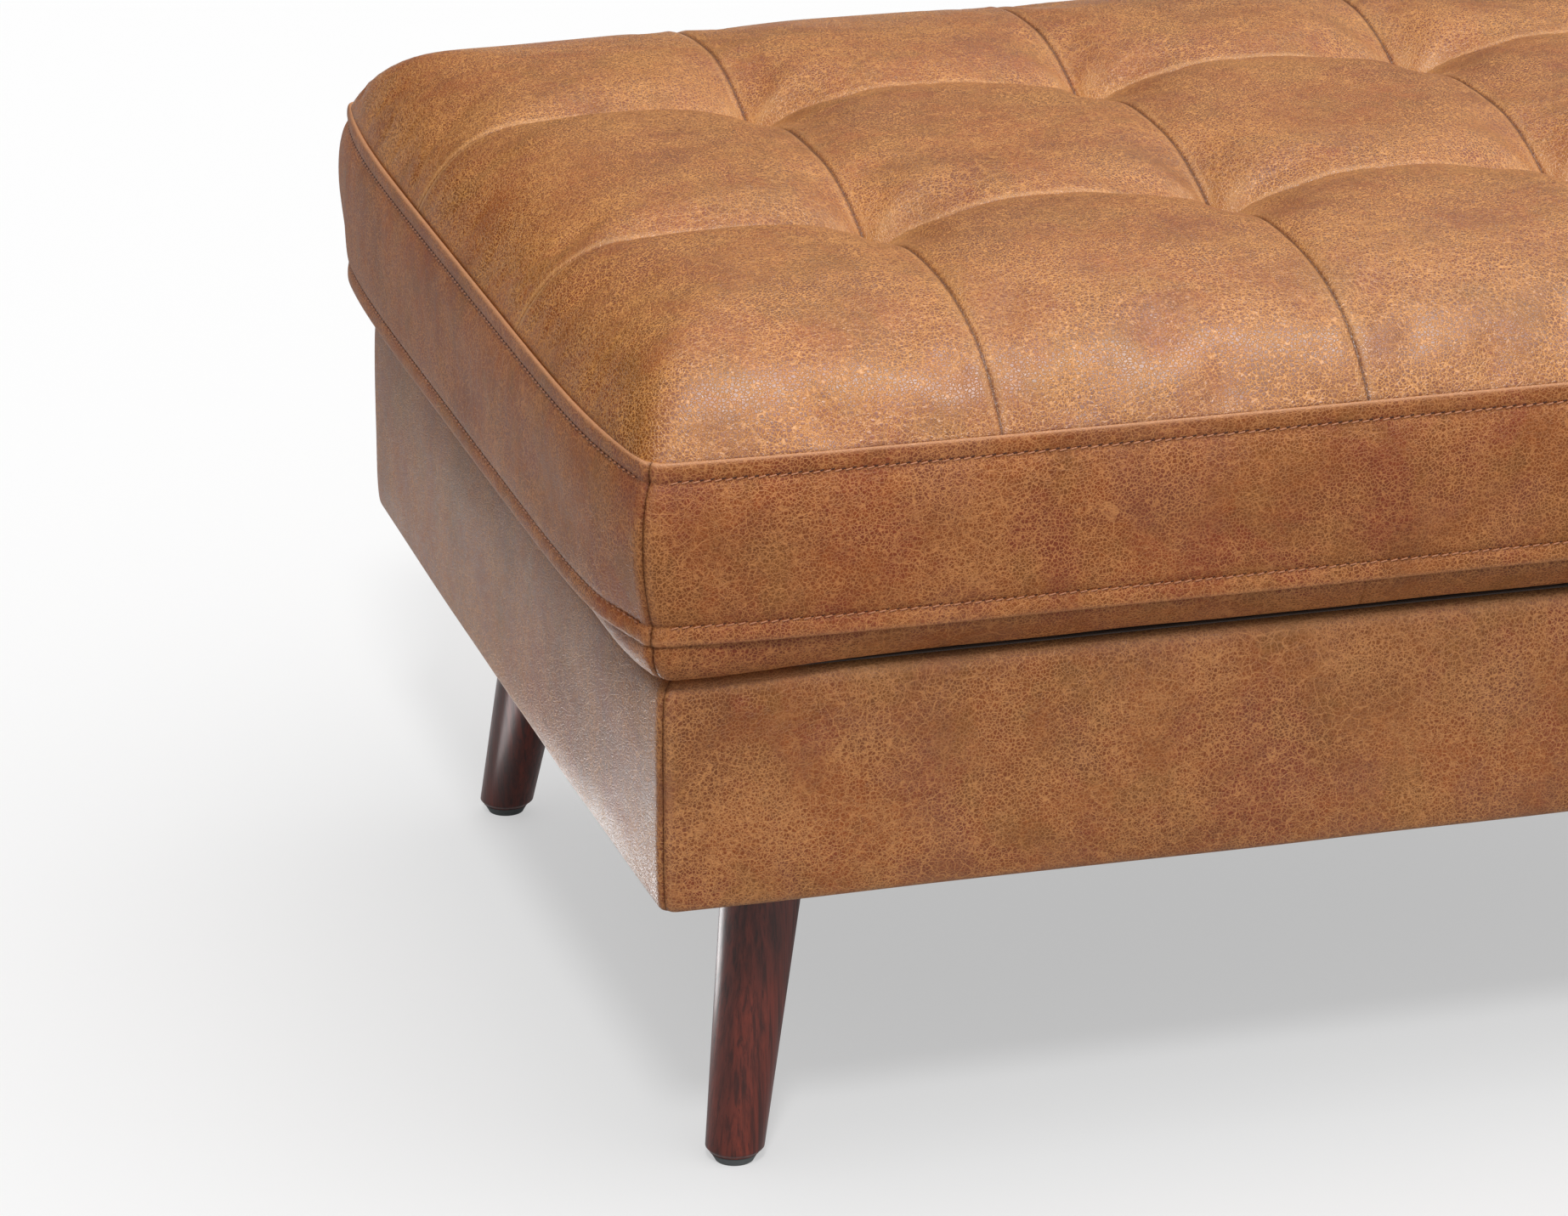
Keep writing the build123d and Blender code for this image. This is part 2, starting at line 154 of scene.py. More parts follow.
def put(tree, kind, inputs, **settings):
    node = setAll(tree.nodes.new("ShaderNode" + kind), **settings)
    for socket, value in inputs.items():
        if isinstance(value, bpy.types.NodeSocket):
            tree.links.new(value, node.inputs[socket])
        else:
            node.inputs[socket].default_value = value
    return node.outputs


def blend(tree, share, first, second, mode="MIX"):
    return put(tree, "Mix", {0: share, 6: first, 7: second}, data_type="RGBA", blend_type=mode)[2]


def sums(tree, operation, first, second):
    return put(tree, "Math", {0: first, 1: second}, operation=operation)[0]


def times(tree, first, *factors):
    for factor in factors:
        first = sums(tree, "MULTIPLY", first, factor)
    return first


def vector(tree, operation, first, second):
    return put(tree, "VectorMath", {0: first, 1: second}, operation=operation)[0]


def ranged(tree, value, low, high, toLow=0.0, toHigh=1.0, kind="SMOOTHSTEP"):
    inputs = {"Value": value, "From Min": low, "From Max": high, "To Min": toLow, "To Max": toHigh}
    return put(tree, "MapRange", inputs, interpolation_type=kind)["Result"]


def cloud(tree, place, scale, detail=3.0, rough=0.55, distortion=0.0):
    inputs = {"Vector": place, "Scale": scale, "Detail": detail, "Roughness": rough, "Distortion": distortion}
    return put(tree, "TexNoise", inputs)["Fac"]


def warped(tree, place, scale, amount):
    drift = put(tree, "TexNoise", {"Vector": place, "Scale": scale, "Detail": 2.0})["Color"]
    centred = vector(tree, "SUBTRACT", drift, (0.5, 0.5, 0.5))
    scaled = put(tree, "VectorMath", {0: centred, "Scale": amount}, operation="SCALE")[0]
    return vector(tree, "ADD", place, scaled)


def cellEdges(tree, place, scale):
    return put(tree, "TexVoronoi", {"Vector": place, "Scale": scale}, feature="DISTANCE_TO_EDGE")[0]


def attribute(tree, name):
    return put(tree, "Attribute", {}, attribute_name=name)["Fac"]


def blankMaterial(name):
    material = bpy.data.materials.new(name)
    material.use_nodes = True
    tree = material.node_tree
    return material, tree, tree.nodes["Principled BSDF"].inputs, put(tree, "TexCoord", {})["Object"]


def finishSurface(tree, surface, color, rough, height, strength, distance):
    bump = put(tree, "Bump", {"Strength": strength, "Distance": distance, "Height": height})[0]
    for socket, value in (("Base Color", color), ("Roughness", rough), ("Normal", bump)):
        tree.links.new(value, surface[socket])


# Finishes

leatherLook = dict(
    tan=paint(154, 92, 42), orange=paint(160, 86, 36), brown=paint(118, 66, 32), red=paint(142, 64, 40),
    rose=paint(146, 86, 62), olive=paint(146, 98, 44), pale=paint(184, 124, 72), net=paint(224, 164, 108),
    # seam is the colour of dark seam lines and also of painted shade in the gullies, grooves and under the flange
    pit=paint(104, 52, 24), seam=paint(72, 34, 14), wearAndHighlight=paint(222, 174, 136),
    mottlePerMetre=7.0, grainPerMetre=530.0, oliveShare=0.62, paleShare=0.42, bumpHeight=0.0003, bumpStrength=0.62,
    # how many a metre, how wide, and how many patches of them a metre
    creases=((290.0, 0.09, 21.0), (150.0, 0.055, 14.0), (62.0, 0.024, 9.0)),
)


def waxedLeather(name, brownShare, redShare, grain, netShare, tintAndShade, roughness=(0.26, 0.38), specular=0.5):
    look = leatherLook
    material, tree, surface, place = blankMaterial(name)
    # broad pull-up patches, then smaller ones in several shades
    broad = cloud(tree, place, look["mottlePerMetre"], 4.0, 0.6, 0.8)
    color = blend(tree, ranged(tree, broad, 0.38, 0.6), look["tan"], look["orange"])
    drift = warped(tree, place, 6.0, 0.08)
    for perMetre, low, high, most, tone in ((10.0, 0.47, 0.63, brownShare, "brown"),
                                            (19.0, 0.50, 0.64, redShare, "red"),
                                            (27.0, 0.49, 0.64, look["oliveShare"], "olive"),
                                            (15.0, 0.51, 0.65, redShare, "rose")):
        moved = vector(tree, "ADD", drift, (perMetre, perMetre * 0.7, 0))
        patch = cloud(tree, moved, perMetre, 4.0, 0.6)
        color = blend(tree, ranged(tree, patch, low, high, 0.0, most), color, look[tone])
    pales = cloud(tree, warped(tree, place, 9.0, 0.05), 34.0, 5.0, 0.7)
    color = blend(tree, ranged(tree, pales, 0.5, 0.7, 0.0, look["paleShare"]), color, look["pale"])
    fine = cloud(tree, place, 140.0, 4.0, 0.7)
    shade = ranged(tree, fine, 0.3, 0.7, 0.80, 1.18, "LINEAR")
    color = blend(tree, 1.0, color, put(tree, "CombineColor", {0: shade, 1: shade, 2: shade})[0], "MULTIPLY")
    # grain: small dark cells in a pale net, stronger in some places than in others
    net = cellEdges(tree, warped(tree, place, 260.0, 0.0016), look["grainPerMetre"])
    strongly = ranged(tree, cloud(tree, place, 25.0, 3.0), 0.36, 0.62, 0.45, 1.0)
    color = blend(tree, times(tree, ranged(tree, net, 0.05, 0.24, 0.0, grain), strongly), color, look["pit"])
    gap = ranged(tree, net, 0.0, 0.17, 1.0, 0.0)
    color = blend(tree, times(tree, gap, netShare, strongly), color, look["net"])
    # longer pale creases, close ones and wide ones, each in patches of its own
    creaseShare = 0.0
    for perMetre, wide, patches in look["creases"]:
        lines = cellEdges(tree, warped(tree, place, perMetre * 0.8, 0.9 / perMetre), perMetre)
        crease = ranged(tree, lines, 0.0, wide, 1.0, 0.0)
        creased = ranged(tree, cloud(tree, place, patches, 2.0), 0.44, 0.6, 0.1, 0.62)
        creaseShare = sums(tree, "MAXIMUM", creaseShare, times(tree, crease, creased))
    color = blend(tree, creaseShare, color, look["net"])
    # pale wear on edges and seams; on the top it is also painted highlight along the row folds and round the tufts
    color = blend(tree, attribute(tree, "paleWearAndHighlight"), color, look["wearAndHighlight"])
    # dark seam lines, and painted shade in the gully by the lip, in the stitch grooves and under the flange
    color = blend(tree, attribute(tree, "darkSeamAndShade"), color, look["seam"])
    # the tint holds the leather's colour and also painted light and shade, set apart for each copy
    color = blend(tree, 1.0, color, (*tintAndShade, 1), "MULTIPLY")
    rough = sums(tree, "ADD", ranged(tree, fine, 0.3, 0.7, *roughness, "LINEAR"), times(tree, gap, 0.08))
    surface["Specular IOR Level"].default_value = specular
    height = sums(tree, "SUBTRACT", times(tree, fine, 0.6), gap)
    height = sums(tree, "SUBTRACT", height, times(tree, creaseShare, 0.8))
    finishSurface(tree, surface, color, rough, height, look["bumpStrength"], look["bumpHeight"])
    return material


def stainedWood(name, light, dark, grainPerMetre, roughness, lengthwise=(1, 1, 0.03), coat=0.0):
    material, tree, surface, place = blankMaterial(name)
    stretched = vector(tree, "MULTIPLY", place, lengthwise)
    streaks = cloud(tree, stretched, grainPerMetre, 5.0, 0.65, 0.4)
    broad = cloud(tree, stretched, grainPerMetre / 6, 3.0, 0.6)
    color = blend(tree, ranged(tree, streaks, 0.35, 0.68), light, dark)
    color = blend(tree, ranged(tree, broad, 0.4, 0.7, 0.0, 0.6), color, dark)
    pores = vector(tree, "MULTIPLY", place, tuple(v * 3 for v in lengthwise))
    pore = ranged(tree, cloud(tree, pores, grainPerMetre, 2.0), 0.62, 0.7)
    color = blend(tree, times(tree, pore, 0.6), color, dimmed(dark, 0.35))
    rough = ranged(tree, streaks, 0.3, 0.7, roughness - 0.05, roughness + 0.08, "LINEAR")
    surface["Coat Weight"].default_value = coat
    surface["Coat Roughness"].default_value = 0.25
    finishSurface(tree, surface, color, rough, sums(tree, "SUBTRACT", times(tree, streaks, 0.5), pore), 0.25, 0.0002)
    return material


def plainFinish(name, color, roughness, metallic=0.0, specklesPerMetre=900.0, speckle=0.12, bumpHeight=0.0001):
    material, tree, surface, place = blankMaterial(name)
    speckles = cloud(tree, place, specklesPerMetre, 4.0, 0.6)
    patches = cloud(tree, place, 22.0, 3.0)
    darker = dimmed(color, 1 - speckle * 2)
    mixed = blend(tree, ranged(tree, speckles, 0.3, 0.7), darker, color)
    mixed = blend(tree, ranged(tree, patches, 0.35, 0.7, 0.0, 0.4), mixed, darker)
    rough = ranged(tree, speckles, 0.2, 0.8, roughness - 0.06, roughness + 0.08, "LINEAR")
    surface["Metallic"].default_value = metallic
    finishSurface(tree, surface, mixed, rough, speckles, 0.4, bumpHeight)
    return material


def wovenCloth(name, color, threadsPerMetre, roughness=0.85):
    material, tree, surface, place = blankMaterial(name)
    inputs = {"Vector": place, "Scale": threadsPerMetre / 6.2832, "Distortion": 0.4}
    weave = times(tree, *(put(tree, "TexWave", inputs, bands_direction=way)["Fac"] for way in ("X", "Y")))
    fuzz = cloud(tree, place, threadsPerMetre * 0.7, 4.0, 0.7)
    darker = dimmed(color, 0.5)
    mixed = blend(tree, ranged(tree, weave, 0.05, 0.6), darker, color)
    mixed = blend(tree, ranged(tree, fuzz, 0.4, 0.75, 0.0, 0.35), mixed, darker)
    rough = ranged(tree, fuzz, 0.2, 0.8, roughness - 0.08, min(1.0, roughness + 0.08), "LINEAR")
    surface["Sheen Weight"].default_value = 0.2
    finishSurface(tree, surface, mixed, rough, sums(tree, "ADD", weave, times(tree, fuzz, 0.5)), 0.6, 0.0003)
    return material


# one leather in three copies: their tints differ to even out how this light falls on the top, the base and the boxing,
# so the differences between them are painted light and shade
topLeather = waxedLeather("tan waxed leather, top", 0.52, 0.5, 0.38, 1.0, (0.92, 0.795, 0.505))
sideLeather = waxedLeather("tan waxed leather, sides", 0.6, 0.75, 0.24, 0.74, (0.90, 0.80, 0.68), (0.33, 0.45), 0.4)
boxingLeather = waxedLeather("tan waxed leather, boxing", 0.6, 0.75, 0.24, 0.74, (0.88, 0.735, 0.61),
                             (0.40, 0.54), 0.32)
seamThread = plainFinish("waxed seam thread", paint(204, 138, 100), 0.6, specklesPerMetre=2500.0)
# painted shade: dark capsules in the stitch rows stand for the shade inside the needle holes
needleHoleShade = plainFinish("needle holes", paint(78, 36, 20), 0.8)
legWood = stainedWood("red-brown stained leg wood", paint(128, 50, 34), paint(64, 22, 16), 420.0, 0.34, coat=0.3)
rawWood = stainedWood("raw frame wood", paint(222, 190, 146), paint(190, 148, 100), 160.0, 0.6, (0.05, 1, 1))
plateSteel = plainFinish("zinc plated steel", paint(176, 178, 182), 0.35, 1.0, 500.0, 0.08)
glideNylon = plainFinish("moulded grey nylon", paint(112, 117, 117), 0.5)
padFoam = plainFinish("upholstery foam", paint(238, 228, 196), 0.9, specklesPerMetre=1400.0, bumpHeight=0.0005)
deckLining = wovenCloth("woven deck lining", paint(66, 52, 44), 1400.0)
bottomCloth = wovenCloth("black bottom cloth", paint(34, 34, 35), 900.0, 0.9)
webbingCloth = wovenCloth("upholstery webbing", paint(176, 154, 120), 500.0)
fasteningTape = plainFinish("hook and loop tape", paint(52, 48, 46), 0.95, specklesPerMetre=1600.0, bumpHeight=0.0006)
print("finishes mixed")


# Stage: pale floor, soft light and the view of the photograph

view = dict(place=(-1.1839, -3.0949, 1.3977), azimuth=math.radians(16.06), elevation=math.radians(20.398), lens=148.3)
light = dict(key=1.17, keySpread=math.radians(9), keyFrom=(-0.26, -0.857, 1.0),
             sheenPower=26.0, sheenSize=0.7, sheenPlace=(0.26, -0.45, 2.35),
             sky=0.12, skyFront=0.12, skyRight=0.12, skyLeast=0.05, skyTop=1.52, skyLean=0.33,
             floorPaint=paint(174, 174, 174), floorReach=30.0, floorGlow=0.48, mirroredGlow=0.3,
             # low cards on the left, seen only as a sheen on that side: place, length, depth, power
             cards=(((-0.57, 0.10, 0.004), 0.20, 0.26, 0.85), ((-0.60, 0.66, 0.004), 0.18, 0.34, 0.16)))


def turned(backwards):
    # the turn that faces a camera or a lamp away from the given direction
    return Vector(backwards).to_track_quat("Z", "Y").to_euler()


def setCamera():
    turn, tilt = view["azimuth"], view["elevation"]
    backwards = (-math.sin(turn) * math.cos(tilt), -math.cos(turn) * math.cos(tilt), math.sin(tilt))
    lens = setAll(bpy.data.cameras.new("studio camera"), lens=view["lens"], sensor_width=36, sensor_fit="HORIZONTAL")
    camera = addObject("studio camera", lens)
    bpy.context.scene.camera = setAll(camera, location=view["place"], rotation_euler=turned(backwards))
    bpy.context.scene.view_settings.view_transform = "Standard"


def setSky():
    # the studio is brighter above, in front and on the right
    world = bpy.data.worlds.new("pale studio")
    world.use_nodes = True
    tree, background = world.node_tree, world.node_tree.nodes["Background"].inputs
    background["Color"].default_value = (1, 1, 1, 1)
    way = put(tree, "SeparateXYZ", {0: put(tree, "TexCoord", {})["Generated"]})
    level = sums(tree, "ADD", times(tree, way["X"], light["skyRight"]), light["sky"])
    level = sums(tree, "SUBTRACT", level, times(tree, way["Y"], light["skyFront"]))
    leaning = sums(tree, "ADD", times(tree, way["X"], light["skyLean"]), way["Z"])
    above = times(tree, sums(tree, "POWER", sums(tree, "MAXIMUM", leaning, 0.0), 2.0), light["skyTop"])
    strength = sums(tree, "ADD", sums(tree, "MAXIMUM", level, light["skyLeast"]), above)
    tree.links.new(strength, background["Strength"])
    bpy.context.scene.world = world


def setLamps():
    key = setAll(bpy.data.lights.new("key light", "SUN"), energy=light["key"], angle=light["keySpread"])
    addObject("key light", key).rotation_euler = turned(light["keyFrom"])
    # a soft box overhead that is only mirrored in the leather
    box = setAll(bpy.data.lights.new("sheen box", "AREA"), energy=light["sheenPower"], size=light["sheenSize"])
    setAll(addObject("sheen box", box), location=light["sheenPlace"], visible_diffuse=False)
    for place, length, depth, power in light["cards"]:
        card = bpy.data.lights.new("low card", "AREA")
        setAll(card, shape="RECTANGLE", size=length, size_y=depth, energy=power)
        setAll(addObject("low card", card), location=place, rotation_euler=(math.pi, 0, 0), visible_camera=False,
               visible_diffuse=False)


def setFloor():
    # a pale floor that looks lit a little from within, so that shadows on it stay light
    finish = plainFinish("pale floor paint", light["floorPaint"], 0.8, speckle=0.003)
    tree, surface = finish.node_tree, finish.node_tree.nodes["Principled BSDF"].inputs
    surface["Emission Color"].default_value = (1, 1, 1, 1)
    path = put(tree, "LightPath", {})
    seen = sums(tree, "MAXIMUM", path["Is Camera Ray"], times(tree, path["Is Glossy Ray"], light["mirroredGlow"]))
    tree.links.new(times(tree, seen, light["floorGlow"]), surface["Emission Strength"])
    surface["Specular IOR Level"].default_value = 0.0
    far = light["floorReach"]
    floor = addMesh("paleFloor", [(-far, -far, 0), (far, -far, 0), (far, far, 0), (-far, far, 0)], [(0, 1, 2, 3)])
    floor.data.materials.append(finish)


setCamera()
setSky()
setLamps()
setFloor()
print("stage set")


# Bands that run round the cushion or the base, one piece for each side

cushion = dict(halfX=0.4550, halfY=0.3260, bowX=0.0110, bowY=0.0040, bowPower=6.0, cornerRound=0.0115,
               tuftPitchX=0.186, tuftPitchY=0.216, innerCells=3)
tuftColumns = [(i - cushion["innerCells"] / 2) * cushion["tuftPitchX"] for i in range(cushion["innerCells"] + 1)]
tuftRows = [-cushion["tuftPitchY"] / 2, cushion["tuftPitchY"] / 2]
baseBox = dict(halfX=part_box("base_cover_right")[1].x, halfY=-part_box("base_cover_front")[0].y, bowX=0.002, bowY=0.0,
               bowPower=2.0, cornerRound=0.007)
cornerSeam = dict(deep=0.0009, wide=0.0010, wornAt=0.0034, wornWide=0.0016)


def sideFrame(side, plan):
    # half length, reach, bow, way along and way out
    wide, deep = plan["halfX"], plan["halfY"]
    return {
        "front": (wide, deep, plan["bowY"], (1, 0), (0, -1)),
        "right": (deep, wide, plan["bowX"], (0, 1), (1, 0)),
        "back": (wide, deep, plan["bowY"], (-1, 0), (0, 1)),
        "left": (deep, wide, plan["bowX"], (0, -1), (-1, 0)),
    }[side]


def fromEdge(level, way, rows):
    # rows of (offset outwards, distance from the level) in mm become offsets and heights in metres
    return [(mm(offset), level + way * mm(distance)) for offset, distance in rows]


def bandStations(halfLength, step, arcSteps=5):
    # share runs from -1 to 1 along the side, turn is the angle round the corner, a quarter turn on the straight
    arc = np.linspace(math.pi / 4, math.pi / 2, arcSteps, endpoint=False)
    run = np.linspace(-1, 1, round(2 * halfLength / step) + 1)
    share = np.concatenate([-np.ones(arcSteps), run, np.ones(arcSteps)])
    turn = np.concatenate([arc, np.full(len(run), math.pi / 2), arc[::-1]])
    return share[None, :], turn[None, :]


def bandPoints(side, plan, share, turn, offset, height, puff):
    halfLength, reach, bow, along, out = sideFrame(side, plan)
    corner = plan["cornerRound"]
    sideways = np.sign(share) * np.cos(turn)
    a = share * (halfLength + offset - corner) + sideways * (corner + puff)
    o = reach + offset - corner + np.sin(turn) * (corner + puff) + bow * (1 - np.abs(share) ** plan["bowPower"])
    x, y = (a * along[i] + o * out[i] for i in (0, 1))
    return np.stack([x, y, np.broadcast_to(height, x.shape)], axis=-1)


def fromCorner(side, plan, share, turn):
    # way along the band from its nearer corner seam
    halfLength = sideFrame(side, plan)[0]
    return (1 - np.abs(share)) * halfLength + plan["cornerRound"] * (turn - math.pi / 4)


def seamDip(distance):
    return -cornerSeam["deep"] * near(distance, 0.0, cornerSeam["wide"])


def seamWear(distance):
    return 0.15 * near(distance, cornerSeam["wornAt"], cornerSeam["wornWide"])


def bandPiece(name, side, plan, part, profile, shape, material, body, stoodFor, between=(-1.0, 1.0)):
    # profile is a list of (offset outwards, height) from the inside edge over the show side to the other edge
    share, turn = bandStations(sideFrame(side, plan)[0], part["step"])
    keep = (share[0] >= between[0] - 1e-9) & (share[0] <= between[1] + 1e-9)
    share, turn = share[:, keep], turn[:, keep]
    rows = np.array(profile)
    offset, height, puff, dark, wearAndHighlight = shape(side, share, turn, rows[:, :1], rows[:, 1:2])
    points = bandPoints(side, plan, share, turn, offset, height, puff)
    grid = points.shape[:2]
    piece = addPiece(name, points, gridFaces(*grid, flip=True), material, body, "tan_leather")
    paintPoints(piece, "darkSeamAndShade", np.broadcast_to(dark, grid))
    paintPoints(piece, "paleWearAndHighlight", np.broadcast_to(wearAndHighlight, grid))
    setAll(piece.modifiers.new("soften", "SUBSURF"), levels=1, render_levels=1)
    thicken(piece, part["leather"])
    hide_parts(*stoodFor)


# Boxing: lip, top stitch groove, padded side, lower groove and hanging flange

boxing = dict(
    step=0.0045, leather=0.0014, fill=0.8, upperStitch=mm(9.2), lowerStitch=mm(9.8),
    flangeOut=0.0042, flangeBack=mm(1.5), cornerSag=mm(1.2), sagWide=0.03, edgeWave=mm(0.5),
    wave=0.0011, slowWave=0.0006, crush=0.00035, wrinkle=0.00045,
    # offset outwards and way down from the lip's top, in mm
    lip=((-2.9, 7), (-2.8, 4), (-2.6, 1.6), (-2.1, 0.5), (-1.4, 0), (-0.7, 0), (0, 0.4), (0.5, 1.3), (0.85, 2.8),
         (1, 5), (1.05, 7), (0.8, 8.4), (0.5, 9.2), (0.75, 10.1), (1.4, 11.4), (2.3, 13.5), (3.3, 17), (4.4, 22),
         (5.2, 29), (5.6, 37), (5.6, 46), (5.1, 55), (4.4, 63), (3.5, 70), (2.7, 75), (2.1, 78.2)),
    # offset outwards and way up from the flange's edge, in mm
    foot=((1.4, 11.2), (0.9, 10.2), (0.8, 9.5), (1.2, 8.6), (1.8, 7.2), (2.2, 5), (2.3, 2.6), (2.1, 0.9), (1.5, 0.1),
          (0.8, 0), (0.3, 0.8), (0.1, 3)),
)
upperGroove, lowerGroove = lipHeight - boxing["upperStitch"], lowerFlange + boxing["lowerStitch"]


def flangeOffset(distance):
    # the lower flange stands out along each side and steps in at the corners
    return boxing["flangeOut"] * smoothStep(distance / 0.06) - boxing["flangeBack"]


def flangeSag(distance):
    return boxing["cornerSag"] * near(distance, 0.0, boxing["sagWide"])


def flangeWave(run):
    return boxing["edgeWave"] * ripple(run, run * 0, 0.21, 8.0)


def boxingShape(side, share, turn, offset, height):
    distance = fromCorner(side, cushion, share, turn)
    halfLength, _, _, along, _ = sideFrame(side, cushion)
    run, number = share * halfLength, sideNames.index(side)
    swell = smoothStep((lipHeight - mm(11) - height) / 0.03) * smoothStep((height - lowerFlange - mm(11)) / 0.025)
    wave = boxing["wave"] * ripple(run, height * 1.6, 0.13, 2.0 + number)
    wave = wave + boxing["slowWave"] * ripple(run, height * 0.25, 0.055, 7.0 + number)
    wave = wave + boxing["crush"] * ripple(run * 1.4, height, 0.035, 5.0 + number)
    puff = seamDip(distance) + wave * swell * (0.3 + 0.7 * smoothStep(distance / 0.05))
    # tension wrinkles that hang below the ends of the top's seams
    for end in tuftColumns if side in ("front", "back") else tuftRows:
        way = sum(along) * end
        fall = lipHeight - mm(10) - height
        drawn = near(run, way, 0.028) * smoothStep(fall / 0.004) * np.exp(-np.clip(fall, 0, 1) / 0.016)
        fan = np.cos((run - way) / (0.0035 + 0.12 * np.clip(fall, 0, 0.08)) * 2.2)
        puff = puff + boxing["wrinkle"] * fan * drawn
    lowShare = smoothStep((lowerFlange + mm(40) - height) / 0.03)
    offset = offset + lowShare * flangeOffset(distance)
    hem = smoothStep((lowerFlange + mm(14) - height) / 0.01)
    height = height - flangeSag(distance) * lowShare + flangeWave(run) * hem
    # painted shade: the stitch grooves and the lip's inner face beside the top are darkened; the corner seam line is
    # the seam's own dark
    groove = near(height, upperGroove, 0.0011) + near(height, lowerGroove, 0.0011)
    inner = smoothStep((-offset - mm(2.3)) / 0.0005)
    dark = np.clip(0.5 * near(distance, 0.0, 0.0007) + 0.15 * groove + 0.15 * inner, 0, 1)
    crest = near(height, lipHeight, 0.0010) * smoothStep((offset + mm(2.5)) / 0.0006)
    foldEdge = near(height, lowerFlange + mm(0.9), 0.0012)
    return offset, height, puff, dark, np.clip(0.75 * crest + 0.25 * foldEdge + seamWear(distance), 0, 0.9)


def makeBoxing():
    profile = fromEdge(lipHeight, -1, boxing["lip"]) + fromEdge(lowerFlange, 1, boxing["foot"])
    for side in sideNames:
        bandPiece("cushionBoxing." + side, side, cushion, boxing, profile, boxingShape, boxingLeather, "cushion",
                  ["boxing_" + side])


# Lower band: rolls in under the flange, further in along the middle of each side than at the corners

lowerBand = dict(
    step=0.005, leather=0.0014, fill=0.6, tuck=0.0085, lift=0.0015, riseWave=0.0008, fan=0.0005, puffWave=0.0007,
    seamAt=-0.093, seamDeep=0.0009, seamOverlap=0.011,
    # offset outwards and way down from the flange's edge, then offset and way up from the bottom, in mm
    side=((-1.3, -5), (-1.2, -1), (-0.8, 2), (-0.5, 5), (-0.6, 8), (-1.2, 11), (-2.4, 14.5)),
    roll=((-4.2, 5.4), (-6.4, 2.8), (-9.2, 1.1), (-13, 0.3), (-18, 0.2), (-26, 0.4)),
)


def lowerBandShape(side, share, turn, offset, height):
    distance = fromCorner(side, cushion, share, turn)
    run = share * sideFrame(side, cushion)[0]
    depth = smoothStep((lowerFlange - height) / 0.02)
    inwards = smoothStep(distance / 0.15)
    offset = offset - lowerBand["tuck"] * inwards * depth
    wave = ripple(run, height, 0.11, 11.0 + sideNames.index(side))
    height = height + (lowerBand["lift"] * inwards + lowerBand["riseWave"] * wave) * depth
    fan = np.cos(distance / 0.0042 + height * 260) * np.exp(-distance / 0.022) * smoothStep(distance / 0.004)
    puff = seamDip(distance) + lowerBand["fan"] * fan * depth + lowerBand["puffWave"] * wave * depth
    shaded = smoothStep((height - lowerFlange + mm(1)) / 0.003)
    dark = np.clip(0.6 * near(distance, 0.0, 0.0008) + 0.9 * shaded, 0, 1)
    if side == "front":
        join = run - lowerBand["seamAt"]
        puff = puff - lowerBand["seamDeep"] * near(join, 0.0, 0.0016)
        dark = np.clip(dark + 0.6 * near(join, 0.0, 0.0012), 0, 1)
    return offset, height, puff, dark, 0.2 * near(distance, 0.0036, 0.0018) * depth


def makeLowerBand():
    profile = fromEdge(lowerFlange, -1, lowerBand["side"]) + fromEdge(cushionBottom, 1, lowerBand["roll"])
    split = lowerBand["seamAt"] / (cushion["halfX"] - cushion["cornerRound"])
    for side in sideNames:
        parts = {side: (-1.0, 1.0)}
        if side == "front":
            parts = {"front.left": (-1.0, split + lowerBand["seamOverlap"]), "front.right": (split, 1.0)}
        for part, between in parts.items():
            bandPiece("cushionLowerBand." + part, side, cushion, lowerBand, profile, lowerBandShape, boxingLeather,
                      "cushion", ["lower_band_" + part.replace(".", "_")], between)


# Base covers: padded leather from the deck over the rolled edge, down the side and in under the rails

baseCover = dict(
    step=0.006, leather=0.0014, fill=0.7, swell=0.0022, wave=0.0014, crush=0.0003, edgeWave=mm(0.7),
    # offset outwards and way down from the top, then offset and way up from the bottom, in mm
    over=((-62, 0), (-48, 0), (-34, 0), (-22, 0), (-14.5, 0.1), (-10, 0.5), (-6, 1.6), (-3.2, 3.6), (-1.3, 6.6),
          (-0.3, 10.5), (0, 16), (0, 24), (0, 34), (0, 46), (0, 58), (0, 70), (0, 82), (0, 92), (0, 101), (0, 108),
          (0, 113)),
    under=((-0.3, 5), (-1.1, 2.6), (-2.8, 0.9), (-5.6, 0.1), (-10, 0), (-18, 0), (-26, 0), (-34, 0)),
)


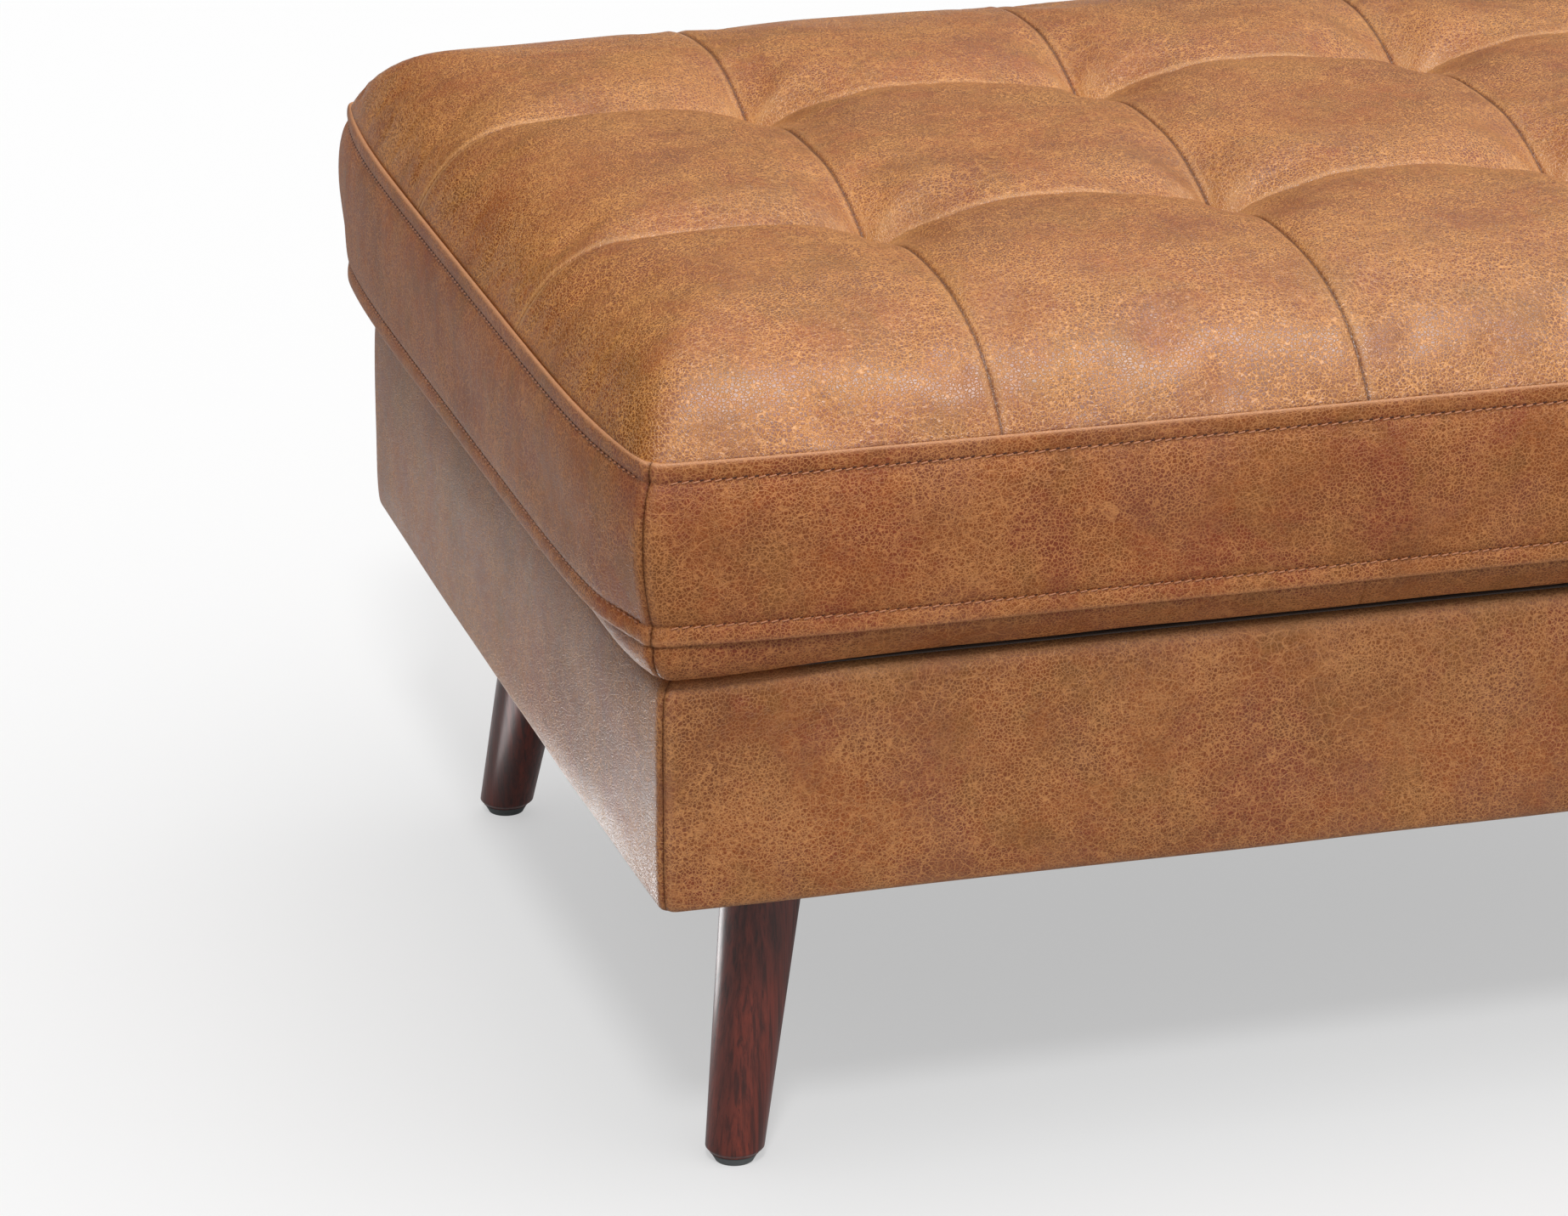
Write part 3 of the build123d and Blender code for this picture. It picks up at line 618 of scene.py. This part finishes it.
def baseShape(side, share, turn, offset, height):
    distance = fromCorner(side, baseBox, share, turn)
    run, number = share * sideFrame(side, baseBox)[0], sideNames.index(side)
    onSide = smoothStep((baseTop - height - mm(4)) / 0.03) * smoothStep((height - baseLow - mm(3)) / 0.02)
    away = smoothStep(distance / 0.06)
    wave = baseCover["wave"] * ripple(run, height * 1.3, 0.19, 21.0 + number)
    crush = baseCover["crush"] * ripple(run, height * 1.2, 0.045, 25.0 + number)
    onFace = (offset > -mm(12)) * 1.0
    full = baseCover["swell"] * (0.35 + 0.65 * away) + wave * away + crush
    puff = (seamDip(distance) + full * onSide) * onFace
    lowEdge = smoothStep((baseLow + mm(12) - height) / 0.012) * onFace
    height = height + baseCover["edgeWave"] * ripple(run, run * 0, 0.16, 28.0) * lowEdge * away
    dark = 0.5 * near(distance, 0.0, 0.0007) * onFace
    edge = near(height, baseTop - mm(3), 0.004) + 0.6 * near(height, baseLow + mm(2), 0.003)
    return offset, height, puff, dark, np.clip((0.3 * edge + seamWear(distance)) * onFace, 0, 0.8)


def makeBaseCovers():
    profile = fromEdge(baseTop, -1, baseCover["over"]) + fromEdge(baseLow, 1, baseCover["under"])
    for side in sideNames:
        bandPiece("baseCover." + side, side, baseBox, baseCover, profile, baseShape, sideLeather, "base",
                  ["base_cover_" + side, "padding_" + side])


makeBoxing()
makeLowerBand()
makeBaseCovers()
print("bands round the cushion and the base made")


# Tufted top: a crowned pad with sewn channels, drawn down where the channels cross

top = dict(
    crown=0.0538, inset=0.0020, rim=0.0006, round=0.0105,
    # how the top falls away to its ends and its long edges: size and reach of each part
    endEdge=((0.005, 0.008), (0.0488, 0.030)), longEdge=((0.0538, 0.041),), cornerBlend=6.0,
    # how far the seams sink below the crown
    columnSag=dict(middle=0.0035, tuft=0.0075, front=0.0055, back=0.0038, outer=0.011, rim=0.003),
    rowSag=dict(middle=0.0065, tuft=0.0095, outer=0.0115, pull=0.0045, rim=0.004),
    valley=0.042, tuftDepth=0.0295, tuftReach=0.115, blend=3.0,
    groove=0.0010, grooveWide=0.0009, rowGroove=0.6, swell=0.0004, tuftPinch=0.004, crease=0.0018, wave=0.0007,
    cellRise=(0.0, 0.0012, -0.0006, 0.0008, -0.0004, 0.001, -0.001, 0.0005, 0.0011, -0.0003, 0.0006, -0.0008, 0.0009,
              0.0, -0.0005),
    coarse=0.0052, fineSteps=(0.0006, 0.0013, 0.0022, 0.0036), closest=0.00045,
    pressure=2.5, frames=20, cap=0.002, fill=0.85,
    # dark seam lines, the rim one also painted shade in the gully by the lip: strength and width
    columnLine=(0.75, 0.0008), rowLine=(0.3, 0.0007), rimSeamAndShade=(0.4, 0.0010),
)


def nearest(values, lines):
    return np.min([np.abs(values - line) for line in lines], axis=0)


def columnSag(y):
    sag, pitch = top["columnSag"], cushion["tuftPitchY"] / 2
    inner = sag["middle"] + sag["tuft"] * np.clip(np.abs(y) / pitch, 0, 1) ** 2
    q = np.clip((np.abs(y) - pitch) / (cushion["halfY"] - pitch), 0, 1)
    least = np.where(y < 0, sag["front"], sag["back"])
    outer = least + (sag["outer"] - least) * np.clip(1 - q / 0.4, 0, 1) ** 2 + sag["rim"] * smoothStep((q - 0.5) / 0.5)
    return np.where(np.abs(y) < pitch, inner, outer)


def rowSag(x):
    sag, pitch, last = top["rowSag"], cushion["tuftPitchX"], tuftColumns[-1]
    share = ((x + last) / pitch) % 1.0
    inner = sag["middle"] + sag["tuft"] * np.abs(2 * share - 1) ** 2.5
    q = np.clip((np.abs(x) - last) / (cushion["halfX"] - last), 0, 1)
    outer = sag["outer"] + sag["pull"] * np.clip(1 - q / 0.5, 0, 1) ** 2 - sag["rim"] * smoothStep((q - 0.6) / 0.4)
    return np.where(np.abs(x) < last, inner, outer)


def tuftAngle(x, y):
    # direction from the nearest tuft
    pitch = cushion["tuftPitchX"]
    return np.arctan2(y - np.sign(y) * tuftRows[1], x - (np.round(x / pitch - 0.5) + 0.5) * pitch)


def topRise(x, y, fine=True):
    halfX, halfY, bowPower = cushion["halfX"], cushion["halfY"], cushion["bowPower"]
    rimX, rimY = halfX - top["inset"], halfY - top["inset"]
    wide = rimX + cushion["bowX"] * (rimX / halfX) ** 6 * (1 - np.abs(y / halfY) ** bowPower)
    deep = rimY + cushion["bowY"] * (rimY / halfY) ** 6 * (1 - np.abs(x / halfX) ** bowPower)
    edgeX, edgeY = np.clip(wide - np.abs(x), 0, None), np.clip(deep - np.abs(y), 0, None)
    rim = np.minimum(edgeX, edgeY)
    column, row = nearest(x, tuftColumns), nearest(y, tuftRows)
    columnValley, rowValley = (np.clip(1 - line / top["valley"], 0, 1) ** 2 for line in (column, row))
    falls = [sum(size * np.exp(-edge / run) for size, run in parts)
             for edge, parts in ((edgeX, top["endEdge"]), (edgeY, top["longEdge"]))]
    dips = [sum(fall ** top["cornerBlend"] for fall in falls) ** (1 / top["cornerBlend"])]
    dips += [columnSag(y) * columnValley, rowSag(x) * rowValley]
    away = np.hypot(column, row) + 1e-9
    slant = (2 * column * row / away ** 2) ** 2
    reach = away * (1 + 0.55 * slant)
    dips.append(top["tuftDepth"] * np.clip(1 - reach / top["tuftReach"], 0, 1) ** 2.2)
    power = top["blend"]
    rise = np.maximum(top["crown"] - sum(dip ** power for dip in dips) ** (1 / power), -mm(3))
    # each cell is filled a little differently
    columnIndex = np.clip(np.searchsorted(tuftColumns, x), 0, 4)
    rowIndex = np.clip(np.searchsorted(tuftRows, y), 0, 2)
    fullness = np.array(top["cellRise"])[columnIndex * 3 + rowIndex]
    rise = rise + fullness * smoothStep(column / 0.06) * smoothStep(row / 0.06) * smoothStep(rim / 0.08)
    rise = rise + top["wave"] * ripple(x, y, 0.11, 31.0) * smoothStep(rim / 0.03)
    if not fine:
        return rise
    for line, depth in ((column, 1.0), (row, top["rowGroove"])):
        rise = rise - depth * top["groove"] * np.exp(-line / top["grooveWide"])
        rise = rise + top["swell"] * near(line, 0.0055, 0.003)
    angle = tuftAngle(x, y)
    creases = np.cos(angle * 9 + np.sin(angle * 2 + x * 9) * 1.6) * np.exp(-away / 0.026) * smoothStep(away / 0.02)
    rise = rise + top["crease"] * creases * smoothStep(np.minimum(column, row) / 0.006)
    return rise - top["tuftPinch"] * near(away, 0.0, 0.007)


def topLines(half, seams, fineSteps=()):
    # stations in plan: even between the seams, closer beside each seam and at the rim
    marks = [-half, *seams, half]
    lines = [np.linspace(low, high, max(2, round((high - low) / top["coarse"])), endpoint=False)
             for low, high in zip(marks, marks[1:])]
    lines = np.concatenate(lines + [[half]] + [[mark - extra, mark + extra] for mark in marks for extra in fineSteps])
    lines = np.unique(np.round(lines[np.abs(lines) <= half + 1e-9], 5))
    keep = [lines[0]]
    for value in lines[1:]:
        if value - keep[-1] > top["closest"]:
            keep.append(value)
    return np.array(keep)


def topPlan(u, v):
    # bows the plan out between the corners, as the lip does
    halfX, halfY, power = cushion["halfX"], cushion["halfY"], cushion["bowPower"]
    u, v = u[None, :], v[:, None]
    shareU, shareV = np.abs(u / halfX), np.abs(v / halfY)
    x = u + np.sign(u) * cushion["bowX"] * (1 - shareV ** power) * shareU ** 6
    y = v + np.sign(v) * cushion["bowY"] * (1 - shareU ** power) * shareV ** 6
    # near each corner the lines close in on a rounded outline
    radius = top["round"]
    overX, overY = (np.clip(np.abs(line) - (half - top["inset"]) + radius, 0, None) / radius
                    for line, half in ((u, halfX), (v, halfY)))
    far = np.maximum(overX, overY)
    pull = np.where(far > 0, far / np.maximum(np.hypot(overX, overY), 1e-9), 1.0)
    x = x - np.sign(u) * radius * overX * (1 - pull)
    y = y - np.sign(v) * radius * overY * (1 - pull)
    return x, y


def swollen(start, pinned):
    # lets the leather swell between its sewn lines under the filling's pressure and gives back how far it moved
    trial = addMesh("swelling", start, gridFaces(*pinned.shape))
    trial.vertex_groups.new(name="sewn").add(np.flatnonzero(pinned.ravel()).tolist(), 1.0, "ADD")
    cloth = trial.modifiers.new("swell", "CLOTH")
    setAll(cloth.settings, quality=4, mass=0.5, vertex_group_mass="sewn", use_pressure=True,
           uniform_pressure_force=top["pressure"], tension_stiffness=30, compression_stiffness=30,
           shear_stiffness=15, bending_stiffness=3, shrink_min=-0.003)
    cloth.settings.effector_weights.gravity = 0
    cloth.collision_settings.use_collision = False
    scene = bpy.context.scene
    for step in range(1, top["frames"] + 1):
        scene.frame_set(step)
    result = trial.evaluated_get(bpy.context.evaluated_depsgraph_get()).to_mesh()
    moved = np.empty(start.size)
    result.vertices.foreach_get("co", moved)
    moved = moved.reshape(start.shape) - start
    scene.frame_set(1)
    mesh = trial.data
    bpy.data.objects.remove(trial)
    bpy.data.meshes.remove(mesh)
    length = np.linalg.norm(moved, axis=-1, keepdims=True)
    print("leather swelled by up to", round(float(length.max()) * 1000, 1), "mm")
    return moved * np.minimum(1, top["cap"] / np.maximum(length, 1e-9))


def resample(field, oldRows, oldColumns, newRows, newColumns):
    halfway = np.stack([[np.interp(newColumns, oldColumns, row) for row in field[..., k]] for k in range(3)], axis=-1)
    columns = [[np.interp(newRows, oldRows, halfway[:, j, k]) for j in range(len(newColumns))] for k in range(3)]
    return np.transpose(np.array(columns), (2, 1, 0))


def closedBelow(points, seat):
    # the pad goes on down inside the boxing and closes under the foam
    rows, columns = points.shape[:2]
    faces = gridFaces(rows, columns)
    rimLoop = [(0, j) for j in range(columns)] + [(i, columns - 1) for i in range(1, rows)]
    rimLoop += [(rows - 1, j) for j in range(columns - 2, -1, -1)] + [(i, 0) for i in range(rows - 2, 0, -1)]
    loop = [i * columns + j for i, j in rimLoop]
    ring = points[[i for i, _ in rimLoop], [j for _, j in rimLoop]]
    levels = ((0.995, seat - 0.004), (0.992, seat - 0.03), (0.99, lowerFlange + 0.01), (0.975, lowerFlange - 0.008),
              (0.96, cushionBottom + 0.0045))    # share of the plan and height
    allPoints, count = [points.reshape(-1, 3)], rows * columns
    for shrink, height in levels:
        allPoints.append(ring * np.array([shrink, shrink, 0]) + np.array([0, 0, height]))
        nextLoop = list(range(count, count + len(ring)))
        faces += [(loop[i - 1], nextLoop[i - 1], nextLoop[i], loop[i]) for i in range(len(ring))]
        loop, count = nextLoop, count + len(ring)
    faces.append(loop[::-1])
    return np.concatenate(allPoints), faces


def paintTop(piece, x, y, halfX, halfY):
    column, row = nearest(x, tuftColumns), nearest(y, tuftRows)
    power = cushion["bowPower"]
    edge = np.minimum(halfX + cushion["bowX"] * (1 - np.abs(y / halfY) ** power) - np.abs(x),
                      halfY + cushion["bowY"] * (1 - np.abs(x / halfX) ** power) - np.abs(y))
    # the rim line is the seam to the lip and painted shade in the gully beside it
    dark = sum(strength * near(line, 0.0, width) for line, (strength, width) in
               ((column, top["columnLine"]), (row, top["rowLine"]), (edge, top["rimSeamAndShade"])))
    # pale fold lines along the rows and pale leather that fans out from each tuft, part pull-up wear and part painted
    # highlight on the folds and round the dimples
    patchy = 0.5 + 0.5 * np.clip(1.6 * ripple(x, y, 0.16, 33.0), -1, 1)
    spokes = 0.5 + 0.5 * np.cos(tuftAngle(x, y) * 7 + np.sin(x * 31 + y * 17) * 2)
    tufts = (0.2 + 0.45 * spokes) * near(np.hypot(column, row), 0.012, 0.015)
    wearAndHighlight = 0.3 * near(column, 0.0028, 0.0014) + (0.25 + 0.5 * patchy) * near(row, 0.0022, 0.0015)
    wearAndHighlight = wearAndHighlight + tufts * smoothStep(np.minimum(column, row) / 0.003)
    hidden = np.zeros(len(piece.data.vertices) - x.size)
    for name, values in (("darkSeamAndShade", np.clip(dark, 0, 1)), ("paleWearAndHighlight", np.clip(wearAndHighlight, 0, 0.6))):
        paintPoints(piece, name, np.concatenate([values.ravel(), hidden]))


def makeTop():
    halfX, halfY = cushion["halfX"] - top["inset"], cushion["halfY"] - top["inset"]
    seat = lipHeight - top["rim"]
    u, v = topLines(halfX, tuftColumns, top["fineSteps"]), topLines(halfY, tuftRows, top["fineSteps"])
    x, y = topPlan(u, v)
    points = np.stack([x, y, seat + topRise(x, y)], axis=-1)
    coarseU, coarseV = topLines(halfX, tuftColumns), topLines(halfY, tuftRows)
    coarseX, coarseY = topPlan(coarseU, coarseV)
    sewn = np.minimum(nearest(coarseU, tuftColumns)[None, :], nearest(coarseV, tuftRows)[:, None]) < 0.0005
    sewn[[0, -1], :] = True
    sewn[:, [0, -1]] = True
    start = np.stack([coarseX, coarseY, seat + topRise(coarseX, coarseY, False)], axis=-1)
    points = points + resample(swollen(start, sewn), coarseV, coarseU, v, u)
    piece = addPiece("tuftedCushionTop", *closedBelow(points, seat), topLeather, "cushion", "tan_leather")
    paintTop(piece, x, y, halfX, halfY)
    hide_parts("top_panel", "fibre_layer", "foam_core", "tuft_straps", "tuft_toggles")


makeTop()
print("tufted top made")


# Stitches: short thread loops that lie in the two grooves of the boxing

stitch = dict(pitch=0.0053, length=0.0038, radius=0.00040, sides=6, slant=0.18, proud=0.0004, wander=0.00012,
              # rows: offset outwards, height, length and radius of the needle holes
              upper=(mm(0.62), upperGroove, 0.0025, 0.00044), lower=(mm(0.98), lowerGroove, 0.0017, 0.0003))


def capsule(length, radius, sides):
    # a short thread with rounded ends, lying along x
    stations = ((-0.5, 0.0), (-0.46, 0.6), (-0.34, 1.0), (0.34, 1.0), (0.46, 0.6), (0.5, 0.0))
    points = [(along * length, y, z) for along, wide in stations for y, z in ringPoints(radius * wide, sides)]
    return np.array(points), ringFaces(len(stations), sides, flip=True)


def stitchRow(name, side, offset, height, material, template, templateFaces, shift=0.0):
    halfLength, reach, bow, along, out = sideFrame(side, cushion)
    run = halfLength - cushion["cornerRound"]
    count = int(2 * run / stitch["pitch"])
    index = np.arange(count)
    a = -run + (index + 0.5 + shift) * 2 * run / count
    o = reach + offset + bow * (1 - np.abs(a / run) ** cushion["bowPower"])
    z = height + stitch["wander"] * np.sin(index * 2.399)
    if height < lipHeight - 0.05:    # the lower row follows the flange
        distance = halfLength - np.abs(a)
        z = z - flangeSag(distance) + flangeWave(a)
        o = o + flangeOffset(distance)
    axes = np.array([[*along, stitch["slant"]], [*out, 0], [0, 0, 1]], dtype=float)
    centres = np.stack([a * along[0] + o * out[0], a * along[1] + o * out[1], z], axis=-1)
    points, faces = copies(template, templateFaces, [(axes, centre) for centre in centres])
    addPiece(name, points, faces, material, "cushion", "strap")


def makeStitches():
    thread = capsule(stitch["length"], stitch["radius"], stitch["sides"])
    for side, row in product(sideNames, ("upper", "lower")):
        offset, height, holeLength, holeRadius = stitch[row]
        hole, where = capsule(holeLength, holeRadius, stitch["sides"]), row + "." + side
        stitchRow("boxingStitches." + where, side, offset + stitch["proud"], height - mm(0.25), seamThread, *thread)
        # painted shade: dark capsules between the stitches stand for the shade in the needle holes
        stitchRow("boxingNeedleHoles." + where, side, offset, height + mm(0.35), needleHoleShade, *hole, 0.5)


makeStitches()
print("stitches laid")


# Legs and glides: turned pieces, the legs lean out towards the corners

leg = dict(footRadius=0.01475, topRadius=0.0215, splay=0.15, footX=0.3895, footY=0.243, bottom=0.005, top=0.1625,
           chamfer=0.0025, sides=64)
glide = dict(treadRadius=0.01025, topRadius=0.0121, high=0.005)


def lathe(profile, centreAt):
    # profile is a list of (radius, height), every ring is level round the centre at its height
    sides, points = leg["sides"], []
    for radius, height in profile:
        centreX, centreY = centreAt(height)
        points += [(centreX + x, centreY + y, height) for x, y in ringPoints(radius, sides)]
    faces = ringFaces(len(profile), sides) + [tuple(range(sides))[::-1]]
    return points, faces + [tuple(range(len(points) - sides, len(points)))]


def legProfile():
    low, high, cut = leg["bottom"], leg["top"], leg["chamfer"]
    radiusAt = lambda z: leg["footRadius"] + (leg["topRadius"] - leg["footRadius"]) * z / high
    rows = [(radiusAt(low) - cut, low), (radiusAt(low) - cut * 0.85, low + 0.0001)]
    rows += [(radiusAt(low) - cut * (1 - share), low + cut * share) for share in (0.12, 0.5, 0.85)]
    rows += [(radiusAt(low + cut * step), low + cut * step) for step in (1.1, 1.5, 2.2)]
    rows += [(radiusAt(z), z) for z in np.linspace(low + cut * 4, high - 0.002, 14)]
    return rows + [(radiusAt(high), high - 0.0003), (radiusAt(high) - 0.0006, high)]


def glideProfile():
    wide, tread, high = glide["topRadius"], glide["treadRadius"], glide["high"]
    return [(tread - 0.0012, 0.0), (tread - 0.0004, 0.0003), (tread, 0.0011), (wide - 0.0003, high - 0.0012),
            (wide, high - 0.0006), (wide - 0.0002, high - 0.0001), (wide - 0.0006, high)]


def makeLegs():
    for (depthName, wayY), (widthName, wayX) in product((("front", -1), ("back", 1)), (("left", -1), ("right", 1))):
        where = depthName + "." + widthName
        leaning = lambda z: (wayX * (leg["footX"] - leg["splay"] * z), wayY * (leg["footY"] - leg["splay"] * z))
        upright = lambda z: leaning(glide["high"])
        piece = addPiece("turnedLeg." + where, *lathe(legProfile(), leaning), legWood, "base", "leg_wood")
        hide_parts("legs")
        piece = addPiece("legGlide." + where, *lathe(glideProfile(), upright), glideNylon, "base", "glide_plastic")
        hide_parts("glides")


makeLegs()
print("legs turned")


# Cloths: deck lining over its pad, the cushion's underside and the bottom cloth with its staples

cloths = dict(step=0.012, deckThick=0.0006, undersideThick=0.0012, undersideInset=(0.007, 0.004), bottomThick=0.0006,
              sag=0.0012, window=0.068, padEdge=0.004)
staple = dict(every=0.042, fromEnd=0.03, inset=0.006, long=0.011, wire=0.0008, tilt=0.12)
plateHalf = 0.033    # half the width of a leg plate
plateX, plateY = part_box("leg_plates")[1].x - plateHalf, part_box("leg_plates")[1].y - plateHalf


def flatSheet(name, low, high, level, material, body, slotName, holes=(), sag=0.0):
    lines = []
    for axis in (0, 1):
        marks = [low[axis], high[axis]] + [hole[axis] + way * hole[2] / 2 for hole in holes for way in bothWays]
        even = np.linspace(low[axis], high[axis], round((high[axis] - low[axis]) / cloths["step"]) + 1)
        lines.append(np.unique(np.round(np.concatenate([even, marks]), 5)))
    x, y = np.meshgrid(*lines)
    inside = smoothStep(np.minimum(np.minimum(x - low[0], high[0] - x), np.minimum(y - low[1], high[1] - y)) / 0.05)
    z = level - sag * inside * (0.7 + 0.3 * ripple(x, y, 0.2, 41.0))
    faces = []
    flat = np.stack([x, y], axis=-1).reshape(-1, 2)
    for face in gridFaces(*x.shape):
        middle = flat[list(face)].mean(axis=0)
        if not any(max(abs(middle[0] - hole[0]), abs(middle[1] - hole[1])) < hole[2] / 2 for hole in holes):
            faces.append(face)
    return addPiece(name, np.stack([x, y, z], axis=-1), faces, material, body, slotName)


def makeDeck():
    low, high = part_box("deck_cloth")
    lining = flatSheet("deckLining", low, high, high.z, deckLining, "base", "deck_cloth")
    thicken(lining, cloths["deckThick"])
    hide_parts("deck_cloth")
    low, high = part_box("deck_pad")
    corners = [(x, y, z) for z, y, x in product((low.z, high.z), (low.y, high.y), (low.x, high.x))]
    faces = [(0, 2, 3, 1), (4, 5, 7, 6), (0, 1, 5, 4), (1, 3, 7, 5), (3, 2, 6, 7), (2, 0, 4, 6)]
    pad = addPiece("deckPad", corners, faces, padFoam, "base", "foam")
    setAll(pad.modifiers.new("cut edge", "BEVEL"), width=cloths["padEdge"], segments=4)
    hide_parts("deck_pad")


def makeUnderside():
    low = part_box("underside_cloth")[0]
    lowX, lowY = low.x + cloths["undersideInset"][0], low.y + cloths["undersideInset"][1]
    piece = flatSheet("cushionUnderside", (lowX, lowY), (-lowX, -lowY), low.z + cloths["undersideThick"], deckLining,
                      "cushion", "deck_cloth")
    thicken(piece, cloths["undersideThick"] * 0.6)
    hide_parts("underside_cloth")


def makeBottomCloth():
    low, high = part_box("dust_cover")
    holes = [(wayX * plateX, wayY * plateY, cloths["window"]) for wayX, wayY in product(bothWays, repeat=2)]
    piece = flatSheet("bottomCloth", low, high, high.z, bottomCloth, "base", "dust_cloth", holes, cloths["sag"])
    thicken(piece, -cloths["bottomThick"])
    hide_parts("dust_cover")
    makeStaples(low, high)


def makeStaples(low, high):
    stations = lambda a, b: np.linspace(a + staple["fromEnd"], b - staple["fromEnd"], round((b - a) / staple["every"]))
    spots = []
    for way in bothWays:
        spots += [(x, way * (high.y - staple["inset"]), 1, 0) for x in stations(low.x, high.x)]
        spots += [(way * (high.x - staple["inset"]), y, 0, 1) for y in stations(low.y, high.y)]
    placings = []
    for index, (x, y, alongX, alongY) in enumerate(spots):
        tilt = staple["tilt"] * math.sin(index * 2.1)
        axisX = alongX * math.cos(tilt) - alongY * math.sin(tilt)
        axisY = alongX * math.sin(tilt) + alongY * math.cos(tilt)
        axes = np.array([[axisX, axisY, 0], [-axisY, axisX, 0], [0, 0, 1]])
        placings.append((axes, np.array([x, y, low.z - staple["wire"] * 0.2])))
    points, faces = copies(*capsule(staple["long"], staple["wire"] * 0.6, 6), placings)
    addPiece("bottomClothStaples", points, faces, plateSteel, "base", "plate_steel")


makeDeck()
makeUnderside()
makeBottomCloth()
print("cloths stretched")


# Leg plate screws: pan heads with a cross recess

screw = dict(headRadius=0.0042, headHigh=0.0022, fromMiddle=0.0245, sides=24, recess=0.0004, belowCloth=0.0005,
             # share of the radius and of the height, from the plate out
             profile=((1.0, 0.0), (1.0, 0.25), (0.92, 0.6), (0.7, 0.87), (0.4, 0.98), (0.15, 1.0)))


def screwHead():
    sides, points = screw["sides"], []
    for wide, drop in screw["profile"]:
        for k, (x, y) in enumerate(ringPoints(wide * screw["headRadius"], sides)):
            recess = screw["recess"] if k % (sides // 4) < 2 and wide < 0.5 else 0.0
            points.append((x, y, recess - drop * screw["headHigh"]))
    faces = ringFaces(len(screw["profile"]), sides, flip=True)
    faces += [tuple(range(len(points) - sides, len(points)))[::-1], tuple(range(sides))]
    return np.array(points), faces


def makePlateScrews():
    level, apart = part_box("dust_cover")[0].z - screw["belowCloth"], screw["fromMiddle"]
    placings = [(np.eye(3), np.array([wayX * plateX + partX * apart, wayY * plateY + partY * apart, level]))
                for wayX, wayY, partX, partY in product(bothWays, repeat=4)]
    addPiece("legPlateScrews", *copies(*screwHead(), placings), plateSteel, "base", "plate_steel")


makePlateScrews()
print("screws driven")


# CAD pieces that stay get their own finishes

keptFinishes = {
    rawWood: ("front_rail", "back_rail", "left_rail", "right_rail", "centre_rail", "corner_blocks", "leg_blocks"),
    webbingCloth: ("long_webbing", "cross_webbing"),
    fasteningTape: ("hook_tapes", "loop_tapes"),
    plateSteel: ("leg_plates", "hanger_bolts"),
}
for finish, names in keptFinishes.items():
    for name in names:
        mesh = nodes[name].data
        mesh.materials.clear()
        mesh.materials.append(finish)
print("kept pieces finished")
